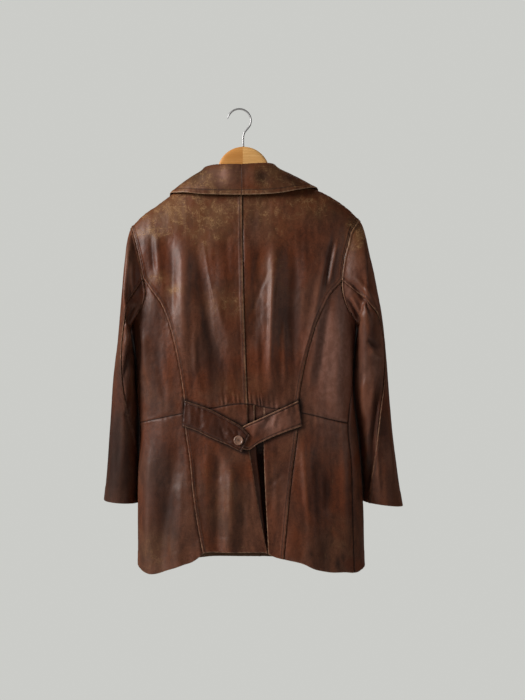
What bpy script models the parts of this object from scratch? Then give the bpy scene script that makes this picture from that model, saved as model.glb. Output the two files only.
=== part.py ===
"""A worn leather coat hanging on a wooden hanger.

The coat's back is towards -Y, its fronts towards +Y, and its hem is down. The origin is the
inside of the hook's crest, where a nail or a rail carries it. A "drop" is a distance below that
point, so z = -drop. All sizes are in metres.

The body of the coat is one smooth hollow form. A place on it is a girth angle (0 in the middle
of the back, +90 degrees at the right edge, +-180 in the middle of the fronts) and a drop. Each
panel is cut between four seams of that form, and is a wall of leather behind its outer face.
"""
import math

import bmesh
import bpy
import numpy as np

# ------------------------------------------------------------------ driving dimensions
LEATHER = 0.0018           # garment leather with its turned and glued edges
SEAM_GAP = 0.0003          # between two pieces that are sewn together
GIRTH_POWER = 0.8          # 1.0 would be an ellipse; less is squarer at the sides
ROLL_DEPTH = 0.085         # how far below the shoulder line the cloth is fully out

LEFT_SHOULDER = (-0.2166, 0.2370)      # x and drop of the point where the sleeve is set in
RIGHT_SHOULDER = (0.2422, 0.2220)
LEFT_ARMPIT_DROP = 0.437
RIGHT_ARMPIT_DROP = 0.428
LEFT_JUNCTION_DROP = 0.343             # where the princess seam leaves the armhole
RIGHT_JUNCTION_DROP = 0.346
LEFT_NECK = (-0.075, 0.1340)           # neck end of the shoulder seam
RIGHT_NECK = (0.078, 0.1280)
BACK_NECK_DIP = 0.019
FRONT_NECK_DIP = 0.062

LAP = 0.022                # how far each front passes the centre line
LAP_LIFT = 0.0016          # the fronts part by twice this where they lap
LAP_EASE = 0.030           # width over which a front comes up to its lap, after twice as much

BUTTON_RADIUS = 0.0095
BUTTON_THICKNESS = 0.0030
FRONT_BUTTON_DROPS = (0.262, 0.372, 0.482, 0.592)

WIRE_RADIUS = 0.00185
HOOK_RADIUS = 0.0235       # centre line of the hook's bend
HOOK_CENTRE_X = 0.0005
WOOD_THICKNESS = 0.013
WOOD_SEAT = LEATHER + 0.0026           # from the shoulder line down to the wood
WOOD_CROWN_RADIUS = 0.053
WOOD_CROWN = (0.0091, 0.0745)          # x and drop of the top of the round crown


def rows(names, *values):
    """A table: its columns by name, as arrays, from rows of numbers."""
    return dict(zip(names.split(), np.array(values, dtype=float).T))


# The body at each drop: its left and right edges, and how far its middle stands out from the
# hanger's plane behind and in front.
BODY = rows(
    "drop    left     right    back   front",
    (0.100, -0.2050, 0.2250, 0.0300, 0.0260),
    (0.170, -0.2220, 0.2400, 0.0350, 0.0310),
    (0.240, -0.2260, 0.2500, 0.0450, 0.0430),
    (0.340, -0.2230, 0.2450, 0.0600, 0.0620),
    (0.430, -0.2172, 0.2378, 0.0690, 0.0770),
    (0.500, -0.2080, 0.2315, 0.0700, 0.0800),
    (0.560, -0.2055, 0.2290, 0.0660, 0.0780),
    (0.610, -0.2015, 0.2340, 0.0640, 0.0760),
    (0.660, -0.2000, 0.2405, 0.0670, 0.0765),
    (0.730, -0.2025, 0.2470, 0.0720, 0.0790),
    (0.800, -0.2040, 0.2505, 0.0770, 0.0830),
    (0.945, -0.2030, 0.2545, 0.0830, 0.0880))

# The line of the shoulders, from beyond one shoulder point to the other.
SHOULDER_LINE = rows(
    "x        drop",
    (-0.2400, 0.2620), (-0.2166, 0.2370), (-0.1980, 0.2174), (-0.1675, 0.1957),
    (-0.1345, 0.1710), (-0.1050, 0.1510), (-0.0750, 0.1340), (-0.0350, 0.1230),
    (0.0400, 0.1200), (0.0780, 0.1280), (0.1150, 0.1425), (0.1586, 0.1625),
    (0.2000, 0.1855), (0.2190, 0.1988), (0.2422, 0.2220), (0.2650, 0.2500))

# How far the armhole seam bows in from the straight line between shoulder point and armpit.
ARMHOLE = rows(
    "share left   right  front",
    (0.00, 0.0000, 0.0000, 0.0000),
    (0.10, 0.0062, 0.0146, 0.0090),
    (0.25, 0.0146, 0.0231, 0.0190),
    (0.40, 0.0214, 0.0303, 0.0270),
    (0.55, 0.0270, 0.0340, 0.0320),
    (0.68, 0.0310, 0.0340, 0.0340),
    (0.80, 0.0242, 0.0279, 0.0300),
    (0.92, 0.0078, 0.0156, 0.0170),
    (1.00, 0.0000, 0.0000, 0.0000))

CENTRE_BACK_SEAM = rows(
    "drop   x", (0.130, 0.0060), (0.360, 0.0095), (0.485, 0.0136), (0.592, 0.0176))
LEFT_PRINCESS = rows(
    "drop   x",
    (0.3430, -0.1896), (0.3540, -0.1815), (0.3695, -0.1705), (0.3875, -0.1568),
    (0.4212, -0.1410), (0.4550, -0.1305), (0.5210, -0.1165), (0.5820, -0.1075),
    (0.6430, -0.1045), (0.7040, -0.0955), (0.7690, -0.0890), (0.8363, -0.0786),
    (0.8870, -0.0684))
RIGHT_PRINCESS = rows(
    "drop   x",
    (0.3460, 0.2056), (0.3540, 0.1990), (0.3680, 0.1856), (0.3980, 0.1685),
    (0.4355, 0.1520), (0.4590, 0.1450), (0.5245, 0.1280), (0.5815, 0.1190),
    (0.6465, 0.1160), (0.7135, 0.1075), (0.7840, 0.0990), (0.8930, 0.0890))
LEFT_SIDE_SEAM = rows("drop angle", (0.437, -90.0), (0.500, -97.0), (0.940, -98.0))
RIGHT_SIDE_SEAM = rows(
    "drop   angle", (0.428, 90.0), (0.500, 90.0), (0.564, 80.0), (0.602, 68.7),
    (0.631, 63.5), (0.707, 62.1), (0.812, 60.4), (0.940, 60.5))
WAIST_SEAM = rows(
    "x        drop",
    (-0.2100, 0.6330), (-0.1170, 0.6120), (-0.0600, 0.6020), (0.0170, 0.5915),
    (0.0500, 0.5975), (0.1250, 0.6090), (0.2154, 0.6300), (0.2600, 0.6360))
BACK_HEM = rows(
    "x        drop",
    (-0.2040, 0.9240), (-0.1900, 0.9370), (-0.1680, 0.9385), (-0.1440, 0.9280),
    (-0.1180, 0.9190), (-0.0970, 0.9110), (-0.0810, 0.8980), (-0.0684, 0.8870),
    (-0.0600, 0.8835), (0.0575, 0.8835), (0.0707, 0.8930), (0.0950, 0.8990),
    (0.1310, 0.9090), (0.1556, 0.9220), (0.1800, 0.9300), (0.2400, 0.9320),
    (0.2545, 0.9250))
FRONT_HEM = rows(
    "x        drop",
    (-0.2040, 0.9240), (-0.1850, 0.9370), (-0.1000, 0.9280), (0.0000, 0.9150),
    (0.1000, 0.9220), (0.2350, 0.9310), (0.2545, 0.9250))
PLEAT_LEFT_EDGE = rows(
    "drop   x", (0.5915, 0.0176), (0.6400, 0.0185), (0.6840, 0.0220), (0.7135, 0.0270),
    (0.8400, 0.0485), (0.8835, 0.0572))
PLEAT_RIGHT_EDGE = rows("drop x", (0.5975, 0.0500), (0.6740, 0.0500), (0.8865, 0.0592))
CENTRE_FRONT = rows("drop x", (0.120, 0.0040), (0.450, 0.0120), (0.940, 0.0240))

# The largest folds: each runs down a straight line, as a ridge (+) or a trough (-).
# `side` is -1 on the back and +1 on the fronts.
FOLDS = rows(
    "side  x_top    top     x_end    end     width   height",
    (-1, -0.1120, 0.2350, -0.1080, 0.5300, 0.0150, 0.0055),
    (-1, -0.1450, 0.2400, -0.1400, 0.4200, 0.0140, -0.0035),
    (-1, -0.0850, 0.2600, -0.0300, 0.5400, 0.0170, -0.0045),
    (-1, 0.0745, 0.2400, 0.0610, 0.5800, 0.0120, 0.0060),
    (-1, 0.1050, 0.2500, 0.0920, 0.5000, 0.0170, -0.0050),
    (-1, 0.0450, 0.2600, 0.0250, 0.5000, 0.0150, -0.0040),
    (-1, -0.1180, 0.6500, -0.1600, 0.9700, 0.0170, -0.0120),
    (-1, -0.1720, 0.6400, -0.1880, 0.9700, 0.0160, 0.0050),
    (-1, -0.1150, 0.7200, -0.1230, 0.9700, 0.0150, 0.0060),
    (-1, -0.0400, 0.6700, -0.0420, 0.9200, 0.0130, -0.0050),
    (-1, -0.0120, 0.6800, -0.0160, 0.9200, 0.0130, 0.0050),
    (-1, 0.1350, 0.6400, 0.1500, 0.9700, 0.0170, 0.0050),
    (-1, 0.1850, 0.6600, 0.1800, 0.9700, 0.0180, -0.0060),
    (1, -0.1400, 0.2600, -0.1500, 0.9600, 0.0280, 0.0060),
    (1, -0.0850, 0.3200, -0.0900, 0.9800, 0.0260, -0.0050),
    (1, 0.1600, 0.2600, 0.1750, 0.9600, 0.0280, 0.0060),
    (1, 0.1100, 0.3400, 0.1200, 0.9800, 0.0260, -0.0050))

# Each sleeve from its armhole to its cuff: its outer and inner edges, where its middle lies
# front to back and how far it reaches from there, and the angle of its back seam (0 is the
# outer edge, 90 the back, 180 the inner edge).
LEFT_SLEEVE = rows(
    "out_drop out_x    in_drop in_x     middle  reach   seam",
    (0.262, -0.2235, 0.4540, -0.2195, 0.0020, 0.0560, 110.0),
    (0.310, -0.2310, 0.4680, -0.2180, 0.0050, 0.0670, 100.0),
    (0.370, -0.2365, 0.4900, -0.2155, 0.0080, 0.0730, 84.0),
    (0.440, -0.2430, 0.5200, -0.2130, 0.0100, 0.0740, 72.0),
    (0.520, -0.2520, 0.5600, -0.2095, 0.0120, 0.0700, 84.0),
    (0.600, -0.2600, 0.6120, -0.2060, 0.0140, 0.0630, 112.0),
    (0.670, -0.2650, 0.6720, -0.2052, 0.0160, 0.0560, 148.0),
    (0.735, -0.2695, 0.7370, -0.2068, 0.0170, 0.0500, 168.0),
    (0.790, -0.2745, 0.7950, -0.2080, 0.0180, 0.0460, 174.0))
RIGHT_SLEEVE = rows(
    "out_drop out_x   in_drop in_x    middle  reach   seam",
    (0.248, 0.2545, 0.4450, 0.2415, 0.0020, 0.0560, 92.0),
    (0.300, 0.2660, 0.4600, 0.2420, 0.0050, 0.0660, 84.0),
    (0.360, 0.2790, 0.4820, 0.2410, 0.0080, 0.0710, 66.0),
    (0.430, 0.2915, 0.5150, 0.2400, 0.0100, 0.0710, 34.0),
    (0.510, 0.3000, 0.5550, 0.2400, 0.0120, 0.0670, 38.0),
    (0.600, 0.3070, 0.6120, 0.2415, 0.0140, 0.0600, 70.0),
    (0.680, 0.3150, 0.6820, 0.2470, 0.0160, 0.0530, 98.0),
    (0.745, 0.3240, 0.7440, 0.2515, 0.0170, 0.0470, 122.0),
    (0.802, 0.3330, 0.7920, 0.2545, 0.0180, 0.0430, 140.0))
SLEEVE_STEPS = np.linspace(0, 1, 12)         # down each sleeve
SLEEVE_HEAD_LIFT = 0.0025                    # how full the sleeve is just below its seam

# Half a collar, from the centre back to its front end: the neckline it is sewn to (as an angle
# round the neck), the fold along its top, and the free edge of its leaf.
LEFT_COLLAR = rows(
    "neck  fold_x   fold_y   fold_drop edge_x   edge_y   edge_drop",
    (0, 0.0045, -0.0330, 0.1138, 0.0060, -0.0445, 0.1765),
    (20, -0.0240, -0.0325, 0.1138, -0.0400, -0.0450, 0.1760),
    (42, -0.0450, -0.0290, 0.1142, -0.0760, -0.0420, 0.1745),
    (62, -0.0610, -0.0210, 0.1155, -0.1080, -0.0350, 0.1705),
    (80, -0.0700, -0.0090, 0.1180, -0.1320, -0.0180, 0.1690),
    (90, -0.0715, -0.0015, 0.1208, -0.1385, -0.0060, 0.1680),
    (98, -0.0710, 0.0055, 0.1240, -0.1405, 0.0060, 0.1715),
    (116, -0.0640, 0.0170, 0.1345, -0.1370, 0.0250, 0.1870),
    (135, -0.0500, 0.0260, 0.1500, -0.1240, 0.0420, 0.2120),
    (155, -0.0330, 0.0320, 0.1660, -0.1060, 0.0530, 0.2380),
    (172, -0.0160, 0.0360, 0.1800, -0.0860, 0.0590, 0.2620))
RIGHT_COLLAR = rows(
    "neck fold_x  fold_y   fold_drop edge_x  edge_y   edge_drop",
    (0, 0.0051, -0.0330, 0.1138, 0.0066, -0.0445, 0.1765),
    (20, 0.0310, -0.0325, 0.1120, 0.0480, -0.0450, 0.1755),
    (42, 0.0520, -0.0290, 0.1108, 0.0860, -0.0420, 0.1720),
    (62, 0.0670, -0.0210, 0.1110, 0.1200, -0.0350, 0.1650),
    (80, 0.0740, -0.0090, 0.1140, 0.1480, -0.0180, 0.1590),
    (90, 0.0750, -0.0015, 0.1172, 0.1575, -0.0060, 0.1582),
    (98, 0.0742, 0.0055, 0.1212, 0.1605, 0.0060, 0.1615),
    (116, 0.0680, 0.0170, 0.1320, 0.1560, 0.0250, 0.1760),
    (135, 0.0560, 0.0260, 0.1480, 0.1420, 0.0420, 0.2040),
    (155, 0.0400, 0.0320, 0.1640, 0.1240, 0.0530, 0.2320),
    (172, 0.0240, 0.0360, 0.1780, 0.1040, 0.0590, 0.2570))
COLLAR_ROLL = 0.0032       # radius of the collar's fold
COLLAR_CROWN = 0.0045      # how far the leaf bows out between its fold and its edge

# The half belt's two tabs: their upper and lower edges, and how far off the coat they lie.
LEFT_TAB = rows(
    "upper_x  upper   lower_x  lower   lift",
    (-0.1057, 0.5846, -0.1102, 0.6347, 0.0024),
    (-0.0800, 0.5930, -0.0830, 0.6440, 0.0028),
    (-0.0537, 0.6026, -0.0560, 0.6570, 0.0036),
    (-0.0330, 0.6135, -0.0370, 0.6650, 0.0050),
    (-0.0136, 0.6243, -0.0200, 0.6720, 0.0072),
    (0.0064, 0.6361, -0.0065, 0.6790, 0.0082),
    (0.0225, 0.6528, 0.0073, 0.6857, 0.0082))
RIGHT_TAB = rows(
    "upper_x  upper   lower_x  lower   lift",
    (-0.0120, 0.6520, -0.0110, 0.6650, 0.0036),
    (0.0000, 0.6420, 0.0030, 0.6760, 0.0038),
    (0.0106, 0.6347, 0.0155, 0.6818, 0.0040),
    (0.0370, 0.6225, 0.0400, 0.6690, 0.0040),
    (0.0641, 0.6097, 0.0661, 0.6569, 0.0036),
    (0.0910, 0.5975, 0.0950, 0.6455, 0.0028),
    (0.1187, 0.5846, 0.1256, 0.6347, 0.0024))
BELT_BUTTON_AT = (0.0005, 0.6628)

RIM_WAY = np.array([0.31, 0.17, -1.0])      # any direction that no seam is square to

LEATHER_BROWN = (0.105, 0.045, 0.024)
LEATHER_DARK = (0.060, 0.026, 0.015)
BUTTON_TAN = (0.32, 0.17, 0.11)
WOOD_YELLOW = (0.62, 0.36, 0.14)
STEEL_GREY = (0.55, 0.54, 0.52)


# ------------------------------------------------------------------ reading the tables
def along(table, column, key, at):
    """A smooth curve through one column of a table, read at a value of its key column."""
    x, y = table[key], table[column]
    slope = np.gradient(y, x)
    at = np.clip(at, x[0], x[-1])
    i = np.clip(np.searchsorted(x, at) - 1, 0, len(x) - 2)
    step = x[i + 1] - x[i]
    s = (at - x[i]) / step
    start = (1 + 2 * s) * (1 - s) ** 2 * y[i] + s * (1 - s) ** 2 * step * slope[i]
    end = s * s * (3 - 2 * s) * y[i + 1] + s * s * (s - 1) * step * slope[i + 1]
    return start + end


def shape_power(value):
    return np.sign(value) * np.abs(value) ** GIRTH_POWER


def ease(share):
    """0 below 0, 1 above 1, and a smooth rise between."""
    s = np.clip(share, 0.0, 1.0)
    return s * s * (3 - 2 * s)


# ------------------------------------------------------------------ the form of the body
def fold_height(x, drop, side):
    """How far the large folds lift the leather at a place."""
    height = np.zeros_like(x)
    for i in range(len(FOLDS["side"])):
        fold = {name: column[i] for name, column in FOLDS.items()}
        run = (drop - fold["top"]) / (fold["end"] - fold["top"])
        middle = fold["x_top"] + (fold["x_end"] - fold["x_top"]) * run
        across = np.exp(-((x - middle) / fold["width"]) ** 2)
        fade = ease(run / 0.25) * ease((1 - run) / 0.25)
        height += np.where(side == fold["side"], fold["height"] * across * fade, 0.0)
    return height


def shoulder_roll(x, drop):
    """0 on the shoulder line, rising in a rounded way to 1 below it."""
    below = drop - along(SHOULDER_LINE, "drop", "x", x)
    share = np.clip(below / ROLL_DEPTH, 0.0, 1.0)
    return np.sqrt(1 - (1 - share) ** 2)


def body_point(angle, drop):
    """The coat's outer face at a girth angle in radians and a drop."""
    angle, drop = np.broadcast_arrays(np.asarray(angle, float), np.asarray(drop, float))
    left, right = along(BODY, "left", "drop", drop), along(BODY, "right", "drop", drop)
    bow = shape_power(np.cos(angle))
    x = (left + right) / 2 + (right - left) / 2 * shape_power(np.sin(angle))
    side = np.where(bow > 0, -1.0, 1.0)
    depth = np.where(bow > 0, along(BODY, "back", "drop", drop),
                     along(BODY, "front", "drop", drop))
    out = (depth + fold_height(x, drop, side)) * np.abs(bow) * shoulder_roll(x, drop)
    return np.stack([x, side * out, -drop], axis=-1)


def angle_at(x, drop, side):
    """The girth angle of a place given by its x, on the back (-1) or on the fronts (+1)."""
    left, right = along(BODY, "left", "drop", drop), along(BODY, "right", "drop", drop)
    s = np.clip((x - (left + right) / 2) / ((right - left) / 2), -1.0, 1.0)
    angle = np.arcsin(np.sign(s) * np.abs(s) ** (1 / GIRTH_POWER))
    if side < 0:
        return angle
    return np.where(x > 0, math.pi, -math.pi) - angle


def unit(vectors):
    return vectors / np.linalg.norm(vectors, axis=-1, keepdims=True)


def inward(angle, drop):
    """The direction into the coat, square to its outer face."""
    step_angle, step_drop = 0.004, 0.0006
    around = body_point(angle + step_angle, drop) - body_point(angle - step_angle, drop)
    down = body_point(angle, drop + step_drop) - body_point(angle, drop)
    return unit(np.cross(around, down))


# ------------------------------------------------------------------ the seams
# Two pieces that share a seam take the same points along it, so that both have the same edge.
BEND_POWER = 4
SEAM_STEPS = np.linspace(0, 1, 9)                                # down a princess or side seam
SHOULDER_STEPS = np.linspace(0, 1, 5)
UPPER_HOLE = np.array([0, 0.023, 0.075, 0.17, 0.38, 0.66, 1.0])   # shoulder to princess seam
LOWER_HOLE = np.array([0, 0.12, 0.25, 0.40, 0.55, 0.70, 0.83, 0.93, 1.0])     # on to the armpit
FRONT_HOLE = np.array([0, 0.012, 0.04, 0.09, 0.25, 0.40, 0.55, 0.70, 0.82, 0.92, 1.0])
BACK_NECK_TURNS = np.radians([90, 80, 62, 42, 20, 0])             # shoulder to centre back
FRONT_NECK_TURNS = np.radians([90, 98, 116, 135, 155, 172])       # shoulder to centre front


class Side:
    """The places and tables of the coat's left or right half."""

    def __init__(self, name):
        left = name == "left"
        self.name = name
        self.left = left
        self.sign = -1.0 if left else 1.0
        self.shoulder = LEFT_SHOULDER if left else RIGHT_SHOULDER
        self.neck = LEFT_NECK if left else RIGHT_NECK
        self.armpit_drop = LEFT_ARMPIT_DROP if left else RIGHT_ARMPIT_DROP
        junction = LEFT_JUNCTION_DROP if left else RIGHT_JUNCTION_DROP
        self.junction = (junction - self.shoulder[1]) / (self.armpit_drop - self.shoulder[1])
        self.princess = seam_by_x(LEFT_PRINCESS if left else RIGHT_PRINCESS)
        self.side_seam = seam_by_angle(LEFT_SIDE_SEAM if left else RIGHT_SIDE_SEAM)
        self.collar = LEFT_COLLAR if left else RIGHT_COLLAR
        self.sleeve = LEFT_SLEEVE if left else RIGHT_SLEEVE
        self.upper_hole = self.junction * UPPER_HOLE
        self.lower_hole = self.junction + (1 - self.junction) * LOWER_HOLE

    def armhole(self, share, front=False):
        """x and drop of the armhole seam, from the shoulder point (0) to the armpit (1)."""
        drop = self.shoulder[1] + (self.armpit_drop - self.shoulder[1]) * share
        armpit_x = along(BODY, self.name, "drop", self.armpit_drop)
        bow = along(ARMHOLE, "front" if front else self.name, "share", share)
        x = self.shoulder[0] + (armpit_x - self.shoulder[0]) * share - self.sign * bow
        return x, drop

    def hole_places(self, share, front=False):
        x, drop = self.armhole(share, front)
        return places(x, drop, 1 if front else -1)

    def neckline(self, turns, front=False):
        """x and drop of the neckline at turns round the neck, 0 at the back, 180 in front."""
        middle = along(CENTRE_BACK_SEAM, "x", "drop", 0.15)
        x = middle + (self.neck[0] - middle) * np.sin(turns)
        dip, power = (FRONT_NECK_DIP, 1.9) if front else (BACK_NECK_DIP, 2.2)
        run = (x - LEFT_NECK[0]) / (RIGHT_NECK[0] - LEFT_NECK[0])
        ends = LEFT_NECK[1] + (RIGHT_NECK[1] - LEFT_NECK[1]) * run
        return x, ends + dip * (1 - np.abs(2 * run - 1) ** power)

    def shoulder_places(self, side):
        x = spread(self.shoulder[0], self.neck[0], SHOULDER_STEPS)
        return places(x, along(SHOULDER_LINE, "drop", "x", x), side)


def seam_by_x(table, side=-1):
    """A seam given by its x: a function from drops to girth angles."""
    return lambda drop: angle_at(along(table, "x", "drop", drop), drop, side)


def seam_by_angle(table):
    """A seam given by its girth angle in degrees: a function from drops to girth angles."""
    return lambda drop: np.radians(along(table, "angle", "drop", drop))


def places(x, drop, side):
    """Girth angles and drops of a line given by its x and drop."""
    return np.stack([angle_at(x, drop, side), drop], axis=-1)


def spread(start, end, shares):
    return start + (end - start) * np.asarray(shares)


def level_drop(table, angle, drop):
    """Where lines at these girth angles cross a waist or hem line that is given by its x."""
    for _ in range(8):
        drop = along(table, "drop", "x", body_point(angle, drop)[..., 0])
    return drop


def crossing(seam, table, start):
    """The drop at which a seam crosses a waist or hem line."""
    drop = np.array(start)
    for _ in range(8):
        drop = along(table, "drop", "x", body_point(seam(drop), drop)[..., 0])
    return drop


def down(seam, start, end):
    """A seam's girth angles and drops, from one drop to another."""
    drop = spread(start, end, SEAM_STEPS)
    return np.stack([seam(drop), drop], axis=-1)


def across(first, last, table, shares):
    """A waist or hem line between two places."""
    angle = spread(first[0], last[0], shares)
    line = np.stack([angle, level_drop(table, angle, np.full_like(angle, first[1]))], axis=-1)
    line[0], line[-1] = first, last
    return line


def coons(top, bottom, left, right):
    """Fill a panel between its four edges; rows run down and columns from left to right.

    The bends of the top and bottom edges die out quickly, so that most rows run straight.
    """
    u = np.linspace(0, 1, len(top))[:, None]
    v = np.linspace(0, 1, len(left))[:, None, None]
    straight = (1 - u) * left[:, None] + u * right[:, None]
    top_bend = top - (1 - u) * top[0] - u * top[-1]
    bottom_bend = bottom - (1 - u) * bottom[0] - u * bottom[-1]
    return straight + (1 - v) ** BEND_POWER * top_bend + v ** BEND_POWER * bottom_bend


# ------------------------------------------------------------------ making solids
def material(name, colour, roughness, metallic=0.0):
    surface = bpy.data.materials.new(name)
    surface.use_nodes = True
    shader = surface.node_tree.nodes["Principled BSDF"]
    shader.inputs["Base Color"].default_value = (*colour, 1.0)
    shader.inputs["Roughness"].default_value = roughness
    shader.inputs["Metallic"].default_value = metallic
    return surface


def add_object(name, points, faces, surface):
    mesh = bpy.data.meshes.new(name)
    mesh.from_pydata([tuple(p) for p in points], [], faces)
    mesh.materials.append(surface)
    work = bmesh.new()
    work.from_mesh(mesh)
    bmesh.ops.recalc_face_normals(work, faces=work.faces)
    work.to_mesh(mesh)
    work.free()
    mesh.shade_smooth()
    mesh.set_sharp_from_angle(angle=math.radians(40))
    thing = bpy.data.objects.new(name, mesh)
    bpy.context.collection.objects.link(thing)
    return thing


def wall(name, outer, into, surface, thickness=LEATHER):
    """A sheet of leather: an outer grid of points, and the same grid moved into its thickness.

    The rim's faces are split along the same diagonal on both sides of a seam.
    """
    count, width = outer.shape[:2]
    inner = outer + into * thickness
    points = np.concatenate([outer.reshape(-1, 3), inner.reshape(-1, 3)])
    number = np.arange(count * width).reshape(count, width)
    other = number + count * width
    faces = []
    for i in range(count - 1):
        for j in range(width - 1):
            quad = [(i, j), (i, j + 1), (i + 1, j + 1), (i + 1, j)]
            first, second = (np.linalg.norm(outer[quad[k]] - outer[quad[k + 2]]) for k in (0, 1))
            if second < first:
                quad = quad[1:] + quad[:1]
            for corners in (quad[:3], [quad[0], quad[2], quad[3]]):
                faces.append([int(number[k]) for k in corners])
                faces.append([int(other[k]) for k in reversed(corners)])
    rim = [(i, 0) for i in range(count)] + [(count - 1, j) for j in range(1, width)]
    rim += [(i, width - 1) for i in range(count - 2, -1, -1)]
    rim += [(0, j) for j in range(width - 2, 0, -1)]
    for a, b in zip(rim, rim[1:] + rim[:1]):
        ring = [int(number[a]), int(number[b]), int(other[b]), int(other[a])]
        if np.dot(outer[a] - outer[b], RIM_WAY) > 0:
            ring = ring[1:] + ring[:1]
        faces += [(ring[0], ring[1], ring[2]), (ring[0], ring[2], ring[3])]
    return add_object(name, points, faces, surface)


def trimmed(grid, top=0.0, bottom=0.0, left=0.0, right=0.0):
    """Draw the edges of a grid back, square to themselves, to leave gaps at the seams."""
    grid = grid.copy()
    for edge, near, gap in ((grid[0], grid[1], top), (grid[-1], grid[-2], bottom),
                            (grid[:, 0], grid[:, 1], left), (grid[:, -1], grid[:, -2], right)):
        line = unit(np.gradient(edge, axis=0))
        way = near - edge
        way = way - np.sum(way * line, axis=-1, keepdims=True) * line
        edge += unit(way) * gap
    return grid


def armpit_share(points, half):
    """0 on the upper armhole, rising to 1 at the armpit."""
    return ease((-points[..., 2] - half.armpit_drop + 0.060) / 0.050)[..., None]


def to_armhole_middle(points, half):
    """From the armhole seam to its middle, square to the sleeve."""
    middle = np.array([0.0, 0.0, -(half.shoulder[1] + half.armpit_drop) / 2])
    way = middle - points
    way[..., 0] = 0.0
    return unit(way)


def towards_armhole(points, half, aside):
    """Into the thickness at the armhole: to its middle, but aside at the armpit."""
    low = armpit_share(points, half)
    return unit(to_armhole_middle(points, half) * (1 - low) + aside * low)


def towards_neck(points):
    """Level, from the neckline to the middle of the neck opening."""
    middle = np.array([(LEFT_NECK[0] + RIGHT_NECK[0]) / 2, 0.0, 0.0])
    way = middle - points
    way[..., 2] = 0.0
    return unit(way)


def lie_on(cut):
    """Outer points and inward directions of a panel, from its girth angles and drops."""
    angle, drop = cut[..., 0], cut[..., 1]
    return body_point(angle, drop), inward(angle, drop)


HALF_GAP = SEAM_GAP / 2
DOWN = np.array([0.0, 0.0, -1.0])


# ------------------------------------------------------------------ back and side panels
def waist_columns(half):
    """Shares of the waist seam from the princess seam to the centre back.

    On the right they include the edge of the pleat.
    """
    if half.left:
        return np.linspace(0, 1, 10)
    princess = half.princess(crossing(half.princess, WAIST_SEAM, 0.61))
    pleat, centre = angle_at(np.array([0.05, 0.0176]), np.array([0.5975, 0.5915]), -1)
    pleat_share = (pleat - princess) / (centre - princess)
    return np.concatenate([np.linspace(0, pleat_share, 7), np.linspace(pleat_share, 1, 4)[1:]])


def back_upper(half, surface):
    """Upper back, from the shoulder and the neck to the waist seam."""
    neck_x, neck_drop = half.neckline(BACK_NECK_TURNS)
    top = np.concatenate([half.shoulder_places(-1), places(neck_x, neck_drop, -1)[1:]])
    end = crossing(half.princess, WAIST_SEAM, 0.61)
    junction = half.armhole(half.junction)[1]
    outer = np.concatenate([half.hole_places(half.upper_hole),
                            down(half.princess, junction, end)[1:]])
    shares = (outer[:, 1] - outer[0, 1]) / (outer[-1, 1] - outer[0, 1])
    centre_drop = spread(neck_drop[-1], 0.5915, shares)
    centre = places(along(CENTRE_BACK_SEAM, "x", "drop", centre_drop), centre_drop, -1)
    waist = across(outer[-1], centre[-1], WAIST_SEAM, waist_columns(half))
    outer[0], centre[0] = top[0], top[-1]
    grid, into = lie_on(coons(top, waist, outer, centre))
    shoulders = len(SHOULDER_STEPS)
    into[0, :shoulders] = DOWN
    into[0, shoulders - 1:] = towards_neck(grid[0, shoulders - 1:])
    hole = len(UPPER_HOLE)
    into[:hole, 0] = towards_armhole(grid[:hole, 0], half, into[:hole, 0])
    grid = trimmed(grid, top=HALF_GAP, bottom=HALF_GAP, left=HALF_GAP, right=HALF_GAP)
    grid[0, :shoulders, 1] = -HALF_GAP
    return wall("back_upper_" + half.name, grid, into, surface)


def side_back_upper(half, surface):
    """Upper side back, from the lower armhole to the waist seam."""
    top = half.hole_places(half.lower_hole)
    inner = down(half.princess, top[0, 1], crossing(half.princess, WAIST_SEAM, 0.61))
    seam = down(half.side_seam, top[-1, 1], crossing(half.side_seam, WAIST_SEAM, 0.63))
    inner[0], seam[0] = top[0], top[-1]
    waist = across(inner[-1], seam[-1], WAIST_SEAM, SEAM_STEPS)
    grid, into = lie_on(coons(top, waist, inner, seam))
    into[0] = towards_armhole(grid[0], half, into[0])
    grid = trimmed(grid, top=HALF_GAP, bottom=HALF_GAP, left=HALF_GAP, right=HALF_GAP)
    return wall("side_back_upper_" + half.name, grid, into, surface)


def skirt(name, first, last, shares, surface):
    """A back skirt panel from the waist seam to the hem, between two seams."""
    edges = [down(seam, crossing(seam, WAIST_SEAM, 0.61), crossing(seam, BACK_HEM, 0.90))
             for seam in (first, last)]
    top = across(edges[0][0], edges[1][0], WAIST_SEAM, shares)
    hem = across(edges[0][-1], edges[1][-1], BACK_HEM, shares)
    grid, into = lie_on(coons(top, hem, *edges))
    grid = trimmed(grid, top=HALF_GAP, left=HALF_GAP, right=HALF_GAP)
    return wall(name, grid, into, surface)


def behind_grid(grid):
    """Directions square to a grid of points, away from the side its columns turn towards."""
    return unit(np.cross(np.gradient(grid, axis=1), np.gradient(grid, axis=0)))


def pleat_underlay(surface):
    """The folded cloth behind the open pleat, as a channel that deepens downwards."""
    drop = np.concatenate([np.linspace(0.586, 0.605, 2), np.linspace(0.622, 0.8825, 12)])
    left = along(PLEAT_LEFT_EDGE, "x", "drop", drop)
    right = along(PLEAT_RIGHT_EDGE, "x", "drop", drop)
    behind = LEATHER + 0.0007
    deep = behind + 0.036 * ease((drop - 0.615) / 0.085)
    lips = [(left - 0.022, behind), (left - 0.007, behind), (left - 0.009, deep),
            ((left + right) / 2, deep), (right + 0.009, deep), (right + 0.007, behind),
            (right + 0.022, behind)]
    columns = []
    for x, recess in lips:
        point = body_point(angle_at(x, drop, -1), drop)
        point[:, 1] += recess
        columns.append(point)
    grid = np.stack(columns, axis=1)
    return wall("pleat_underlay", grid, behind_grid(grid), surface)


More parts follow.
